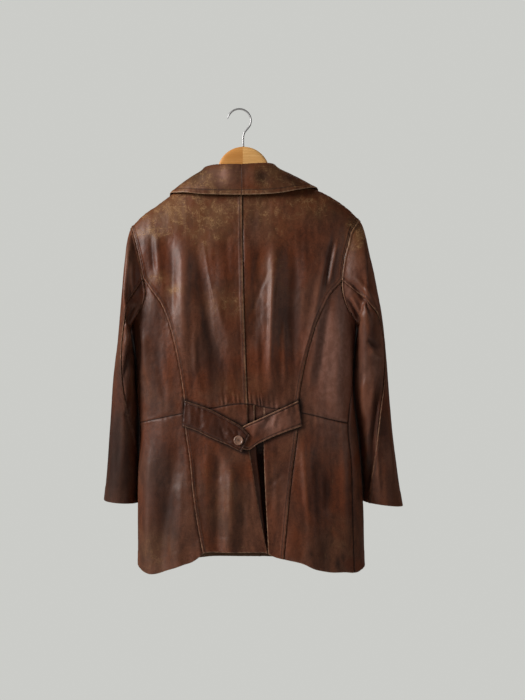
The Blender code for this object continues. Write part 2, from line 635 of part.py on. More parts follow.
# ------------------------------------------------------------------ fronts
def front(half, surface):
    """A plain front in one piece from shoulder and neck to hem."""
    reach = -half.sign * LAP
    neck_x, neck_drop = half.neckline(FRONT_NECK_TURNS, front=True)
    lap_x = along(CENTRE_FRONT, "x", "drop", 0.195) + reach
    neck_x, neck_drop = np.append(neck_x, lap_x), np.append(neck_drop, neck_drop[-1])
    top = np.concatenate([half.shoulder_places(1), places(neck_x, neck_drop, 1)[1:]])
    waist_drop = crossing(half.side_seam, WAIST_SEAM, 0.63)
    hem_drop = crossing(half.side_seam, BACK_HEM, 0.92)
    outer = np.concatenate([half.hole_places(FRONT_HOLE, front=True),
                            down(half.side_seam, half.armpit_drop, waist_drop)[1:],
                            down(half.side_seam, waist_drop, hem_drop)[1:]])
    outer[0] = top[0]
    edge_end = along(FRONT_HEM, "drop", "x", along(CENTRE_FRONT, "x", "drop", 0.92) + reach)
    edge_drop = spread(neck_drop[-1], edge_end, np.linspace(0, 1, len(outer)))
    edge = places(along(CENTRE_FRONT, "x", "drop", edge_drop) + reach, edge_drop, 1)
    for line in (top, edge):
        line[:, 0] = unwrapped(line[:, 0], half)
    hem_shares = np.linspace(0, 1, len(top))
    hem = across(outer[-1], edge[-1], FRONT_HEM, hem_shares)
    on_back = np.abs(hem[:, 0]) < math.pi / 2
    hem[on_back, 1] = level_drop(BACK_HEM, hem[on_back, 0], hem[on_back, 1])
    grid, into = lie_on(coons(top, hem, outer, edge))
    grid[..., 1] += lap_lift(grid, half)
    shoulders = len(SHOULDER_STEPS)
    into[0, :shoulders] = DOWN
    into[0, shoulders - 1:] = towards_neck(grid[0, shoulders - 1:])
    hole = len(FRONT_HOLE)
    into[:hole, 0] = towards_armhole(grid[:hole, 0], half, into[:hole, 0])
    grid = trimmed(grid, top=HALF_GAP, left=HALF_GAP)
    grid[0, :shoulders, 1] = HALF_GAP
    return wall("front_" + half.name, grid, into, surface)


def lap_lift(points, half):
    """How far forward a front lies where the two fronts lap: the right one is on top."""
    centre = along(CENTRE_FRONT, "x", "drop", -points[..., 2])
    lapped = ease(3.0 - (points[..., 0] - centre) * half.sign / LAP_EASE)
    return half.sign * LAP_LIFT * lapped


def unwrapped(angle, half):
    """Girth angles on one front kept continuous where it passes the centre line."""
    return np.where(angle * half.sign < 0, angle + half.sign * 2 * math.pi, angle)


# ------------------------------------------------------------------ sleeves
def ring_turn(share):
    """The angle round the armhole of a place that far down it."""
    return np.degrees(np.arccos(1 - 2 * share))


def armhole_ring(half, turns):
    """The armhole seam as a ring: 0 at the shoulder, 90 degrees behind, 180 at the armpit."""
    share = (1 - np.cos(np.radians(turns))) / 2
    ring = np.zeros((len(turns), 3))
    behind = (turns >= 0) & (turns <= 180)
    for chosen, front in ((behind, False), (~behind, True)):
        cut = half.hole_places(share[chosen], front)
        ring[chosen] = body_point(cut[:, 0], cut[:, 1])
    return ring


def sleeve_ring(row, turns):
    """One ring of a sleeve, from its row in the sleeve's table."""
    turns = np.radians(turns)
    out = np.array([row["out_x"], row["middle"], -row["out_drop"]])
    inner = np.array([row["in_x"], row["middle"], -row["in_drop"]])
    ring = np.cos(turns)[:, None] * (out - inner) / 2 + (out + inner) / 2
    ring[:, 1] -= row["reach"] * np.sin(turns)
    return ring


def sleeve_piece(name, half, upper, surface):
    """The top or the under piece of a sleeve, from armhole to cuff."""
    front_turn = -ring_turn(FRONT_HOLE[4])
    seam_turn = ring_turn(half.junction)
    if upper:
        turns = np.concatenate([-ring_turn(FRONT_HOLE[4::-1]), ring_turn(half.upper_hole[1:])])
    else:
        turns = np.concatenate([ring_turn(half.lower_hole), 360 - ring_turn(FRONT_HOLE[-2:3:-1])])
    shares = (turns - turns[0]) / (turns[-1] - turns[0])
    even = np.linspace(0, 1, len(turns))
    hole = armhole_ring(half, turns)
    hole[:, 0] += half.sign * SEAM_GAP
    outwards = np.array([half.sign, 0.0, 0.0])
    rings, inwards = [hole], [towards_armhole(hole, half, outwards)]
    table = half.sleeve
    for step in SLEEVE_STEPS:
        out_drop = spread(table["out_drop"][0], table["out_drop"][-1], step)
        row = {key: along(table, key, "out_drop", out_drop) for key in table}
        ends = (front_turn, row["seam"]) if upper else (row["seam"], 360 + front_turn)
        turned = spread(*ends, shares + (even - shares) * ease(step * 4))
        ring = sleeve_ring(row, turned)
        centre = np.array([(row["out_x"] + row["in_x"]) / 2, row["middle"],
                           -(row["out_drop"] + row["in_drop"]) / 2])
        tangent = unit(sleeve_ring(row, turned + 1) - sleeve_ring(row, turned - 1))
        way = centre - ring
        rings.append(ring)
        inwards.append(unit(way - np.sum(way * tangent, axis=1)[:, None] * tangent))
    lift = to_armhole_middle(hole, half) * (1 - armpit_share(hole, half)) * SLEEVE_HEAD_LIFT
    head = (rings[0] + rings[1]) / 2 - lift
    rings.insert(1, head)
    inwards.insert(1, unit(inwards[0] + inwards[1]))
    grid = trimmed(np.array(rings), left=HALF_GAP, right=HALF_GAP)
    return wall(name, grid, np.array(inwards), surface)


# ------------------------------------------------------------------ collar
def collar(half, surface):
    """Half of the collar: a stand up from the neckline, a fold, and a leaf that falls."""
    columns = []
    for i, turn in enumerate(np.radians(half.collar["neck"])):
        row = {key: column[i] for key, column in half.collar.items()}
        front = turn > math.pi / 2
        neck_x, neck_drop = half.neckline(turn, front)
        neck = body_point(angle_at(neck_x, neck_drop, 1 if front else -1), neck_drop)
        if front:
            neck[1] += lap_lift(neck, half)
        seat = neck + towards_neck(neck) * LEATHER + np.array([0, 0, SEAM_GAP])
        fold = np.array([row["fold_x"], row["fold_y"], -row["fold_drop"]])
        edge = np.array([row["edge_x"], row["edge_y"], -row["edge_drop"]])
        out_way = unit(np.array([fold[0] - 0.0015, fold[1] * 2.0, 0.0]))
        under, over = fold - out_way * COLLAR_ROLL, fold + out_way * COLLAR_ROLL
        under[2] -= COLLAR_ROLL
        over[2] -= COLLAR_ROLL
        line = [seat, (seat + under) / 2, under, fold, over]
        for share in (0.33, 0.67, 1.0):
            lift = COLLAR_CROWN * math.sin(math.pi * share)
            line.append(over + (edge - over) * share + out_way * lift)
        columns.append(line)
    grid = np.array(columns).transpose(1, 0, 2)
    into = behind_grid(grid) * half.sign
    into[0] = -towards_neck(grid[0])
    into[:, 0, 0] = 0.0
    into = unit(into)
    grid[:, 0, 0] += half.sign * HALF_GAP
    return wall("collar_" + half.name, grid, into, surface)


# ------------------------------------------------------------------ half belt and buttons
def lie_above(x, drop, lift, side=-1):
    """Points over the coat at given x and drop, lifted off its face."""
    angle = angle_at(x, drop, side)
    return body_point(angle, drop) - inward(angle, drop) * lift[..., None]


def belt_tab(name, table, surface):
    """One tab of the half belt, laid over the back and lifted off it."""
    shares = np.linspace(0, 1, 5)[:, None]
    x = table["upper_x"] + (table["lower_x"] - table["upper_x"]) * shares
    drop = table["upper"] + (table["lower"] - table["upper"]) * shares
    lift = np.broadcast_to(table["lift"], x.shape)
    return wall(name, lie_above(x, drop, lift), inward(angle_at(x, drop, -1), drop), surface)


def button(name, centre, facing, surface):
    """A turned button with a raised rim; its flat back is at its centre point."""
    segments = 16
    facing = unit(np.asarray(facing))
    side_way = unit(np.cross(facing, np.array([0.0, 0.0, 1.0])))
    up_way = np.cross(side_way, facing)
    profile = ((0.90, 0.0), (1.0, 0.40), (0.90, 1.0), (0.74, 0.95), (0.62, 0.62))
    turns = np.linspace(0, 2 * math.pi, segments, endpoint=False)
    points = []
    for radius, height in profile:
        for turn in turns:
            flat = side_way * math.cos(turn) + up_way * math.sin(turn)
            points.append(centre + flat * radius * BUTTON_RADIUS
                          + facing * height * BUTTON_THICKNESS)
    faces = [tuple(range(segments - 1, -1, -1)),
             tuple(range((len(profile) - 1) * segments, len(profile) * segments))]
    for ring in range(len(profile) - 1):
        for k in range(segments):
            a, b = ring * segments + k, ring * segments + (k + 1) % segments
            faces.append((a, b, b + segments, a + segments))
    return add_object(name, points, faces, surface)


# ------------------------------------------------------------------ hanger
def wood_top(x):
    """Drop of the hanger's upper edge: a round crown, then arms under the shoulders."""
    seams = np.concatenate([spread(LEFT_SHOULDER[0], LEFT_NECK[0], SHOULDER_STEPS),
                            spread(RIGHT_NECK[0], RIGHT_SHOULDER[0], SHOULDER_STEPS)])
    arms = np.interp(x, seams, along(SHOULDER_LINE, "drop", "x", seams)) + WOOD_SEAT
    arms = np.where(np.abs(x - WOOD_CROWN[0]) < 0.085, np.maximum(arms, 0.137), arms)
    inside = np.clip(WOOD_CROWN_RADIUS ** 2 - (x - WOOD_CROWN[0]) ** 2, 0.0, None)
    crown = WOOD_CROWN[1] + WOOD_CROWN_RADIUS - np.sqrt(inside)
    return np.where(inside > 0, np.minimum(arms, crown), arms)


def hanger_wood(surface):
    """The hanger's body, as rounded sections from one arm's end to the other."""
    ends = (-0.196, 0.214)
    crown = WOOD_CROWN[0] + WOOD_CROWN_RADIUS * np.sin(np.radians(np.linspace(-88, 88, 13)))
    left_arm = np.linspace(ends[0], crown[0] - 0.010, 7)
    right_arm = np.linspace(crown[-1] + 0.010, ends[1], 7)
    stations = np.concatenate([left_arm, crown, right_arm])
    corners = np.radians(np.arange(18, 378, 36))
    points = []
    for x in stations:
        tip = min(1.0, 0.45 + 0.55 * min(x - ends[0], ends[1] - x) / 0.012)
        top = float(wood_top(np.array(x)))
        arm = top if abs(x - WOOD_CROWN[0]) > 0.06 else 0.140
        end = arm + 0.020 + 0.016 * (1 - abs(x - WOOD_CROWN[0]) / 0.2)
        middle, half = (top + end) / 2, (end - top) / 2 * tip
        for turn in corners:
            y = WOOD_THICKNESS / 2 * np.sign(math.cos(turn)) * abs(math.cos(turn)) ** 0.7
            z = -middle + half * np.sign(math.sin(turn)) * abs(math.sin(turn)) ** 0.9
            points.append((x, y, z))
    count, ring = len(stations), len(corners)
    faces = [tuple(range(ring)), tuple(range((count - 1) * ring, count * ring))[::-1]]
    for i in range(count - 1):
        for k in range(ring):
            a, b = i * ring + k, i * ring + (k + 1) % ring
            faces.append((a, b, b + ring, a + ring))
    return add_object("hanger_wood", points, faces, surface)


def hanger_hook(surface):
    """A bent wire: open at its tip, over the nail, and down into the crown of the wood."""
    centre_drop = HOOK_RADIUS - WIRE_RADIUS
    turns = np.radians(np.linspace(172, -48, 15))
    path = [(HOOK_CENTRE_X + HOOK_RADIUS * math.cos(t),
             -centre_drop + HOOK_RADIUS * math.sin(t)) for t in turns]
    seat = -WOOD_CROWN[1] + SEAM_GAP
    path += [(0.0108, -0.0465), (0.0088, -0.0530), (0.0085, -0.0610), (0.0088, seat)]
    path = np.array(path)
    ahead = np.gradient(path, axis=0)
    ahead[-1] = (0.0, -1.0)
    ahead = unit(ahead)
    sides = 8
    points = []
    for (x, z), (dx, dz) in zip(path, ahead):
        for k in range(sides):
            turn = 2 * math.pi * k / sides
            off = WIRE_RADIUS * math.cos(turn)
            points.append((x - dz * off, WIRE_RADIUS * math.sin(turn), z + dx * off))
    count = len(path)
    faces = [tuple(range(sides)), tuple(range((count - 1) * sides, count * sides))[::-1]]
    for i in range(count - 1):
        for k in range(sides):
            a, b = i * sides + k, i * sides + (k + 1) % sides
            faces.append((a, b, b + sides, a + sides))
    return add_object("hanger_hook", points, faces, surface)


# ------------------------------------------------------------------ build
def build():
    for thing in list(bpy.data.objects):
        bpy.data.objects.remove(thing, do_unlink=True)
    brown = material("leather", LEATHER_BROWN, 0.55)
    dark = material("leather_inside_pleat", LEATHER_DARK, 0.6)
    tan = material("button", BUTTON_TAN, 0.4)
    wood = material("wood", WOOD_YELLOW, 0.4)
    steel = material("wire", STEEL_GREY, 0.3, 1.0)

    left, right = Side("left"), Side("right")
    for half in (left, right):
        back_upper(half, brown)
        side_back_upper(half, brown)
        front(half, brown)
        sleeve_piece("top_sleeve_" + half.name, half, True, brown)
        sleeve_piece("under_sleeve_" + half.name, half, False, brown)
        collar(half, brown)
        skirt("side_skirt_" + half.name, half.princess, half.side_seam, SEAM_STEPS, brown)
    skirt("back_skirt_left", left.princess, seam_by_x(PLEAT_LEFT_EDGE),
          np.linspace(0, 1, 10), brown)
    skirt("back_skirt_right", right.princess, seam_by_x(PLEAT_RIGHT_EDGE),
          np.linspace(0, 1, 7), brown)
    pleat_underlay(dark)
    belt_tab("belt_left", LEFT_TAB, brown)
    belt_tab("belt_right", RIGHT_TAB, brown)

    x, drop = (np.array(value) for value in BELT_BUTTON_AT)
    lift = along(LEFT_TAB, "lift", "upper_x", float(x)) + 0.0007
    out = -inward(angle_at(x, drop, -1), drop)
    button("belt_button", lie_above(x, drop, np.array(lift)), out, tan)
    for number, drop in enumerate(FRONT_BUTTON_DROPS, start=1):
        x = along(CENTRE_FRONT, "x", "drop", drop)
        angle = angle_at(np.array(x), np.array(drop), 1)
        out = -inward(angle, np.array(drop))
        point = body_point(angle, np.array(drop)) + out * (LAP_LIFT + 0.0007)
        button(f"front_button_{number}", point, out, tan)

    hanger_wood(wood)
    hanger_hook(steel)


build()
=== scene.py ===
# %% [markdown]
# # A worn leather coat on its hanger
#
# This lesson dresses a plain solid model of a coat as real leather. The coat is cut from
# panels: two upper backs, two side backs, four skirt panels round an open pleat, two plain
# fronts, two-piece sleeves, a collar and a buttoned half belt. It hangs from a wooden hanger
# with a wire hook.

import math

import bmesh
import bpy
import numpy as np
from mathutils import Matrix


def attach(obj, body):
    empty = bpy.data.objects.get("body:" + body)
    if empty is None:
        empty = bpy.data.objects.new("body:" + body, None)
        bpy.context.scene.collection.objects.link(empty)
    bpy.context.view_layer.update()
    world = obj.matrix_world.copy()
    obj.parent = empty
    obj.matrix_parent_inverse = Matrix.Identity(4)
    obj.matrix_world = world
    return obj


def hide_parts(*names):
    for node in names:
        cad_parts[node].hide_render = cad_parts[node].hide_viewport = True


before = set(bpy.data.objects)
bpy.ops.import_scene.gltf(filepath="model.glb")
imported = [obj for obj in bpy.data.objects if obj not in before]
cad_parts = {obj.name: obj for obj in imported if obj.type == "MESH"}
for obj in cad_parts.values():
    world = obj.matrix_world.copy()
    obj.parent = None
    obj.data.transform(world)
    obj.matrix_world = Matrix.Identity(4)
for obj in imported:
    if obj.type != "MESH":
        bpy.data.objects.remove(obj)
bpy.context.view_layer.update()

# %% [markdown]
# ## Tables and smooth curves
#
# A pattern cutter works from tables of measures in millimetres, and so does this script, but
# its single measures are in metres, as Blender's are. A drop is a distance below the nail that
# the hook hangs on. `along` draws a smooth curve through one column of a table, which is how a
# few measures give a whole seam. A spline object could do the same, but a small function keeps
# every seam exact and easy to ask for at any height.

# %% Read a table as a smooth curve
MM = 0.001
NOT_LENGTHS = ("side", "share", "amount", "angle", "neck", "seam")    # the last three: degrees


def rows(names, *values):
    """A table: its columns by name, from rows of numbers with the lengths in millimetres."""
    columns = dict(zip(names.split(), np.array(values, dtype=float).T))
    return {name: column if name in NOT_LENGTHS else column / 1000
            for name, column in columns.items()}


def each_row(table):
    """The table's rows one by one, each with its values by name."""
    return [dict(zip(table, values)) for values in zip(*table.values())]


def curve_through(x, y, at):
    """Read a smooth curve through the values y at x, where y is numbers or rows of points."""
    slope = np.gradient(y, x, axis=0)
    at = np.clip(at, x[0], x[-1])
    i = np.clip(np.searchsorted(x, at) - 1, 0, len(x) - 2)
    step = x[i + 1] - x[i]
    s = (at - x[i]) / step
    if y.ndim > 1:
        step, s = step[:, None, None], s[:, None, None]
    start = (1 + 2 * s) * (1 - s) ** 2 * y[i] + s * (1 - s) ** 2 * step * slope[i]
    end = s * s * (3 - 2 * s) * y[i + 1] + s * s * (s - 1) * step * slope[i + 1]
    return start + end


def along(table, column, key, at):
    """The column's value where the key column has the value `at`."""
    return curve_through(table[key], table[column], at)


def x_at(table, drop):
    """Where a line that runs down the coat is, at a drop."""
    return along(table, "x", "drop", drop)


def drop_at(table, x):
    """How low a line that runs across the coat is, at an x."""
    return along(table, "drop", "x", x)


def ease(share):
    """0 below 0, 1 above 1, and a smooth rise between."""
    s = np.clip(share, 0.0, 1.0)
    return s * s * (3 - 2 * s)


def unit(vectors):
    """The same ways, each of length 1."""
    return vectors / np.maximum(np.linalg.norm(vectors, axis=-1, keepdims=True), 1e-12)


def spread(start, end, shares):
    """The values that lie these shares of the way from start to end."""
    return start + (end - start) * np.asarray(shares)


# %% [markdown]
# ## The form of the body
#
# Buttoned up and hung, the coat's body is one soft hollow form, flatter than a tube and
# rounded over the shoulders. A place on it is a girth angle (0 in the middle of the back, 90
# degrees at the right side) and a drop. It could be sculpted by hand, but a form that follows
# a rule lets every panel share the same seams, so the pieces meet as sewn ones do.

# %% Measures of the body
LEATHER = 1.8 * MM
SEAM_GAP = 0.3 * MM
GIRTH_POWER = 0.8
ROLL_DEPTH = 0.085

SHOULDER = {"left": (-0.2166, 0.2370), "right": (0.2422, 0.2220)}
ARMPIT_DROP = {"left": 0.437, "right": 0.428}
JUNCTION_DROP = {"left": 0.343, "right": 0.346}
NECK = {"left": (-0.075, 0.1340), "right": (0.078, 0.1280)}
BACK_NECK_DIP, BACK_NECK_POWER = 0.019, 2.2
FRONT_NECK_DIP, FRONT_NECK_POWER = 0.062, 1.9
NECK_SEAM_DROP = 0.15             # where the centre back seam gives the neck its middle
LAP = 0.022
LAP_LIFT = 0.0016
LAP_EASE = 0.030

BODY = rows(
    "drop  left  right  back  front",
    (100, -205.0, 225.0, 30, 26.0),
    (170, -222.0, 240.0, 35, 31.0),
    (240, -226.0, 250.0, 45, 43.0),
    (340, -223.0, 245.0, 60, 62.0),
    (430, -217.2, 237.8, 69, 77.0),
    (500, -208.0, 231.5, 70, 80.0),
    (560, -205.5, 229.0, 66, 78.0),
    (610, -201.5, 234.0, 64, 76.0),
    (660, -200.0, 240.5, 67, 76.5),
    (730, -202.5, 247.0, 72, 79.0),
    (800, -204.0, 250.5, 77, 83.0),
    (945, -203.0, 254.5, 83, 88.0))
SHOULDER_LINE = rows(
    "x  drop",
    (-240, 262), (-216.6, 237), (-198, 217.4), (-167.5, 195.7), (-134.5, 171), (-105, 151),
    (-75, 134), (-35, 123), (40, 120), (78, 128), (115, 142.5), (158.6, 162.5), (200, 185.5),
    (219, 198.8), (242.2, 222), (265, 250))
ARMHOLE = rows(
    "share  left  right  front",
    (0.00,  0.0,  0.0,  0),
    (0.10,  6.2, 14.6,  9),
    (0.25, 14.6, 23.1, 19),
    (0.40, 21.4, 30.3, 27),
    (0.55, 27.0, 34.0, 32),
    (0.68, 31.0, 34.0, 34),
    (0.80, 24.2, 27.9, 30),
    (0.92,  7.8, 15.6, 17),
    (1.00,  0.0,  0.0,  0))
CENTRE_BACK_SEAM = rows(
    "drop  x", (130, 6), (360, 9.5), (485, 13.6), (592, 17.6))
PRINCESS = {"left": rows(
    "drop  x",
    (343, -189.6), (354, -181.5), (369.5, -170.5), (387.5, -156.8), (421.2, -141),
    (455, -130.5), (521, -116.5), (582, -107.5), (643, -104.5), (704, -95.5), (769, -89),
    (836.3, -78.6), (887, -68.4)), "right": rows(
    "drop  x",
    (346, 205.6), (354, 199), (368, 185.6), (398, 168.5), (435.5, 152), (459, 145),
    (524.5, 128), (581.5, 119), (646.5, 116), (713.5, 107.5), (784, 99), (893, 89))}
SIDE_SEAM = {"left": rows(
    "drop  angle", (437, -90), (500, -97), (940, -98)), "right": rows(
    "drop  angle",
    (428, 90), (500, 90), (564, 80), (602, 68.7), (631, 63.5), (707, 62.1), (812, 60.4),
    (940, 60.5))}
WAIST_SEAM = rows(
    "x  drop",
    (-210, 633), (-117, 612), (-60, 602), (17, 591.5), (50, 597.5), (125, 609), (215.4, 630),
    (260, 636))
BACK_HEM = rows(
    "x  drop",
    (-204, 916.5), (-195, 923), (-178, 929.5), (-165, 928.5), (-139, 919), (-106.5, 906.8),
    (-90.9, 901.5), (-77, 892), (-69, 884), (-61, 882.2), (-40, 882), (0, 882), (40, 882),
    (52, 882.4), (58.3, 884.5), (70, 890.3), (93.6, 896.5), (128.9, 905.6), (150, 915.5),
    (164.5, 919.8), (180, 923.3), (210, 924.5), (237.5, 926.5), (254.5, 919))
FRONT_HEM = rows(
    "x  drop",
    (-204, 916.5), (-185, 927), (-130, 924), (-100, 919), (-70, 915.5), (0, 915), (50, 915.5),
    (100, 918), (160, 923), (235, 926), (254.5, 919))
PLEAT_EDGE = {"left": rows(
    "drop  x",
    (591.5, 17.6), (640, 18.5), (684, 22), (713.5, 27), (840, 48.5),
    (883.5, 57.2)), "right": rows("drop  x", (597.5, 50), (674, 50), (886.5, 59.2))}
CENTRE_FRONT = rows("drop  x", (120, 4), (450, 12), (940, 24))

# The largest folds. They follow the solid model's, some a little deeper or shallower, and
# `side` is -1 on the back and +1 on the fronts.
FOLDS = rows(
    "side  x_top  top  x_end  end  width  height",
    (-1, -112.0, 235, -108, 530, 15,  4.8),
    (-1, -145.0, 240, -140, 420, 14, -3.5),
    (-1,  -85.0, 260,  -30, 540, 17, -4.5),
    (-1,   74.5, 240,   61, 580, 12,  4.8),
    (-1,  105.0, 250,   92, 500, 17, -5.0),
    (-1,   45.0, 260,   25, 500, 15, -4.0),
    (-1, -118.0, 650, -160, 970, 20, -8.8),
    (-1, -172.0, 640, -188, 970, 16,  5.0),
    (-1, -115.0, 720, -123, 970, 15,  6.0),
    (-1,  -40.0, 670,  -42, 920, 13, -5.0),
    (-1,  -12.0, 680,  -16, 920, 13,  5.0),
    (-1,  135.0, 640,  150, 970, 17,  5.0),
    (-1,  185.0, 660,  180, 970, 18, -6.0),
    ( 1, -140.0, 260, -150, 960, 24,  8.5),
    ( 1,  -85.0, 320,  -90, 980, 22, -7.5),
    ( 1,  160.0, 260,  175, 960, 24,  8.5),
    ( 1,  110.0, 340,  120, 980, 22, -7.5))


# %% Places on the body
FOLD_FADE = 0.25                  # the share of its length in which a fold rises, and dies out


def shape_power(value, power):
    """Draw a sine or a cosine out, so that it makes a squarer or a rounder outline."""
    return np.sign(value) * np.abs(value) ** power


def fold_height(x, drop, side):
    """The summed height of the large folds at places on one side of the coat."""
    height = np.zeros_like(x)
    for fold in each_row(FOLDS):
        run = (drop - fold["top"]) / (fold["end"] - fold["top"])
        middle = fold["x_top"] + (fold["x_end"] - fold["x_top"]) * run
        across = np.exp(-((x - middle) / fold["width"]) ** 2)
        fade = ease(run / FOLD_FADE) * ease((1 - run) / FOLD_FADE)
        height += np.where(side == fold["side"], fold["height"] * across * fade, 0.0)
    return height


def body_point(angle, drop):
    """The coat's outer face at a girth angle in radians and a drop."""
    angle, drop = np.broadcast_arrays(np.asarray(angle, float), np.asarray(drop, float))
    left, right = along(BODY, "left", "drop", drop), along(BODY, "right", "drop", drop)
    bow = shape_power(np.cos(angle), GIRTH_POWER)
    x = (left + right) / 2 + (right - left) / 2 * shape_power(np.sin(angle), GIRTH_POWER)
    side = np.where(bow > 0, -1.0, 1.0)
    depth = np.where(bow > 0, along(BODY, "back", "drop", drop),
                     along(BODY, "front", "drop", drop))
    below = np.clip((drop - drop_at(SHOULDER_LINE, x)) / ROLL_DEPTH, 0.0, 1.0)
    roll = np.sqrt(1 - (1 - below) ** 2)
    out = (depth + fold_height(x, drop, side)) * np.abs(bow) * roll
    return np.stack([x, side * out, -drop], axis=-1)


def angle_at(x, drop, side=-1):
    """The girth angle of a place given by its x, on the back (-1) or on the fronts (+1)."""
    left, right = along(BODY, "left", "drop", drop), along(BODY, "right", "drop", drop)
    s = np.clip((x - (left + right) / 2) / ((right - left) / 2), -1.0, 1.0)
    angle = np.arcsin(shape_power(s, 1 / GIRTH_POWER))
    if side < 0:
        return angle
    return np.where(x > 0, math.pi, -math.pi) - angle


def places(x, drop, side=-1):
    """Girth angles and drops of a line given by its x and drop."""
    return np.stack([angle_at(x, drop, side), drop], axis=-1)


def seam_by_x(table):
    """A seam as a function: its girth angle at a drop, from a table of x."""
    return lambda drop: angle_at(x_at(table, drop), drop)


def seam_by_angle(table):
    """The same, from a table of angles in degrees."""
    return lambda drop: np.radians(along(table, "angle", "drop", drop))


SEARCH_STEPS = 8                  # each step brings a drop nearer to the line it is sought on


def crossing(seam, table, start):
    """The drop at which a seam crosses a waist or hem line."""
    drop = np.array(start)
    for _ in range(SEARCH_STEPS):
        drop = drop_at(table, body_point(seam(drop), drop)[..., 0])
    return drop


def settled(angle, drop, table):
    """The drops at which a waist or hem line passes these girth angles, from a first guess."""
    for _ in range(SEARCH_STEPS):
        drop = drop_at(table, body_point(angle, drop)[..., 0])
    return drop


class Side:
    """The seams and tables of the coat's left or right half."""

    def __init__(self, name):
        self.name = name
        self.sign = -1.0 if name == "left" else 1.0
        self.shoulder, self.neck = SHOULDER[name], NECK[name]
        self.armpit_drop = ARMPIT_DROP[name]
        span = self.armpit_drop - self.shoulder[1]
        self.junction = (JUNCTION_DROP[name] - self.shoulder[1]) / span
        self.princess = seam_by_x(PRINCESS[name])
        self.side_seam = seam_by_angle(SIDE_SEAM[name])

    def hole(self, share, front=False):
        """The armhole seam, from the shoulder point (0) to the armpit (1)."""
        drop = spread(self.shoulder[1], self.armpit_drop, share)
        armpit_x = along(BODY, self.name, "drop", self.armpit_drop)
        bow = along(ARMHOLE, "front" if front else self.name, "share", share)
        x = spread(self.shoulder[0], armpit_x, share) - self.sign * bow
        return places(x, drop, 1 if front else -1)

    def neckline(self, turns, front=False):
        """The neckline at turns round the neck: 0 at the back and 180 degrees in front."""
        middle = x_at(CENTRE_BACK_SEAM, NECK_SEAM_DROP)
        x = middle + (self.neck[0] - middle) * np.sin(turns)
        dip, power = BACK_NECK_DIP, BACK_NECK_POWER
        if front:
            dip, power = FRONT_NECK_DIP, FRONT_NECK_POWER
        run = (x - NECK["left"][0]) / (NECK["right"][0] - NECK["left"][0])
        ends = spread(NECK["left"][1], NECK["right"][1], run)
        return x, ends + dip * (1 - np.abs(2 * run - 1) ** power)

    def shoulder_seam(self, side):
        """The shoulder seam from the armhole to the neck, on the back (-1) or the front (+1)."""
        x = spread(self.shoulder[0], self.neck[0], np.linspace(0, 1, 40))
        return places(x, drop_at(SHOULDER_LINE, x), side)


LEFT, RIGHT = Side("left"), Side("right")
print("girth at the waist:", round(float(np.linalg.norm(np.diff(body_point(
    np.linspace(-math.pi, math.pi, 400), 0.61), axis=0), axis=1).sum()), 3), "m")
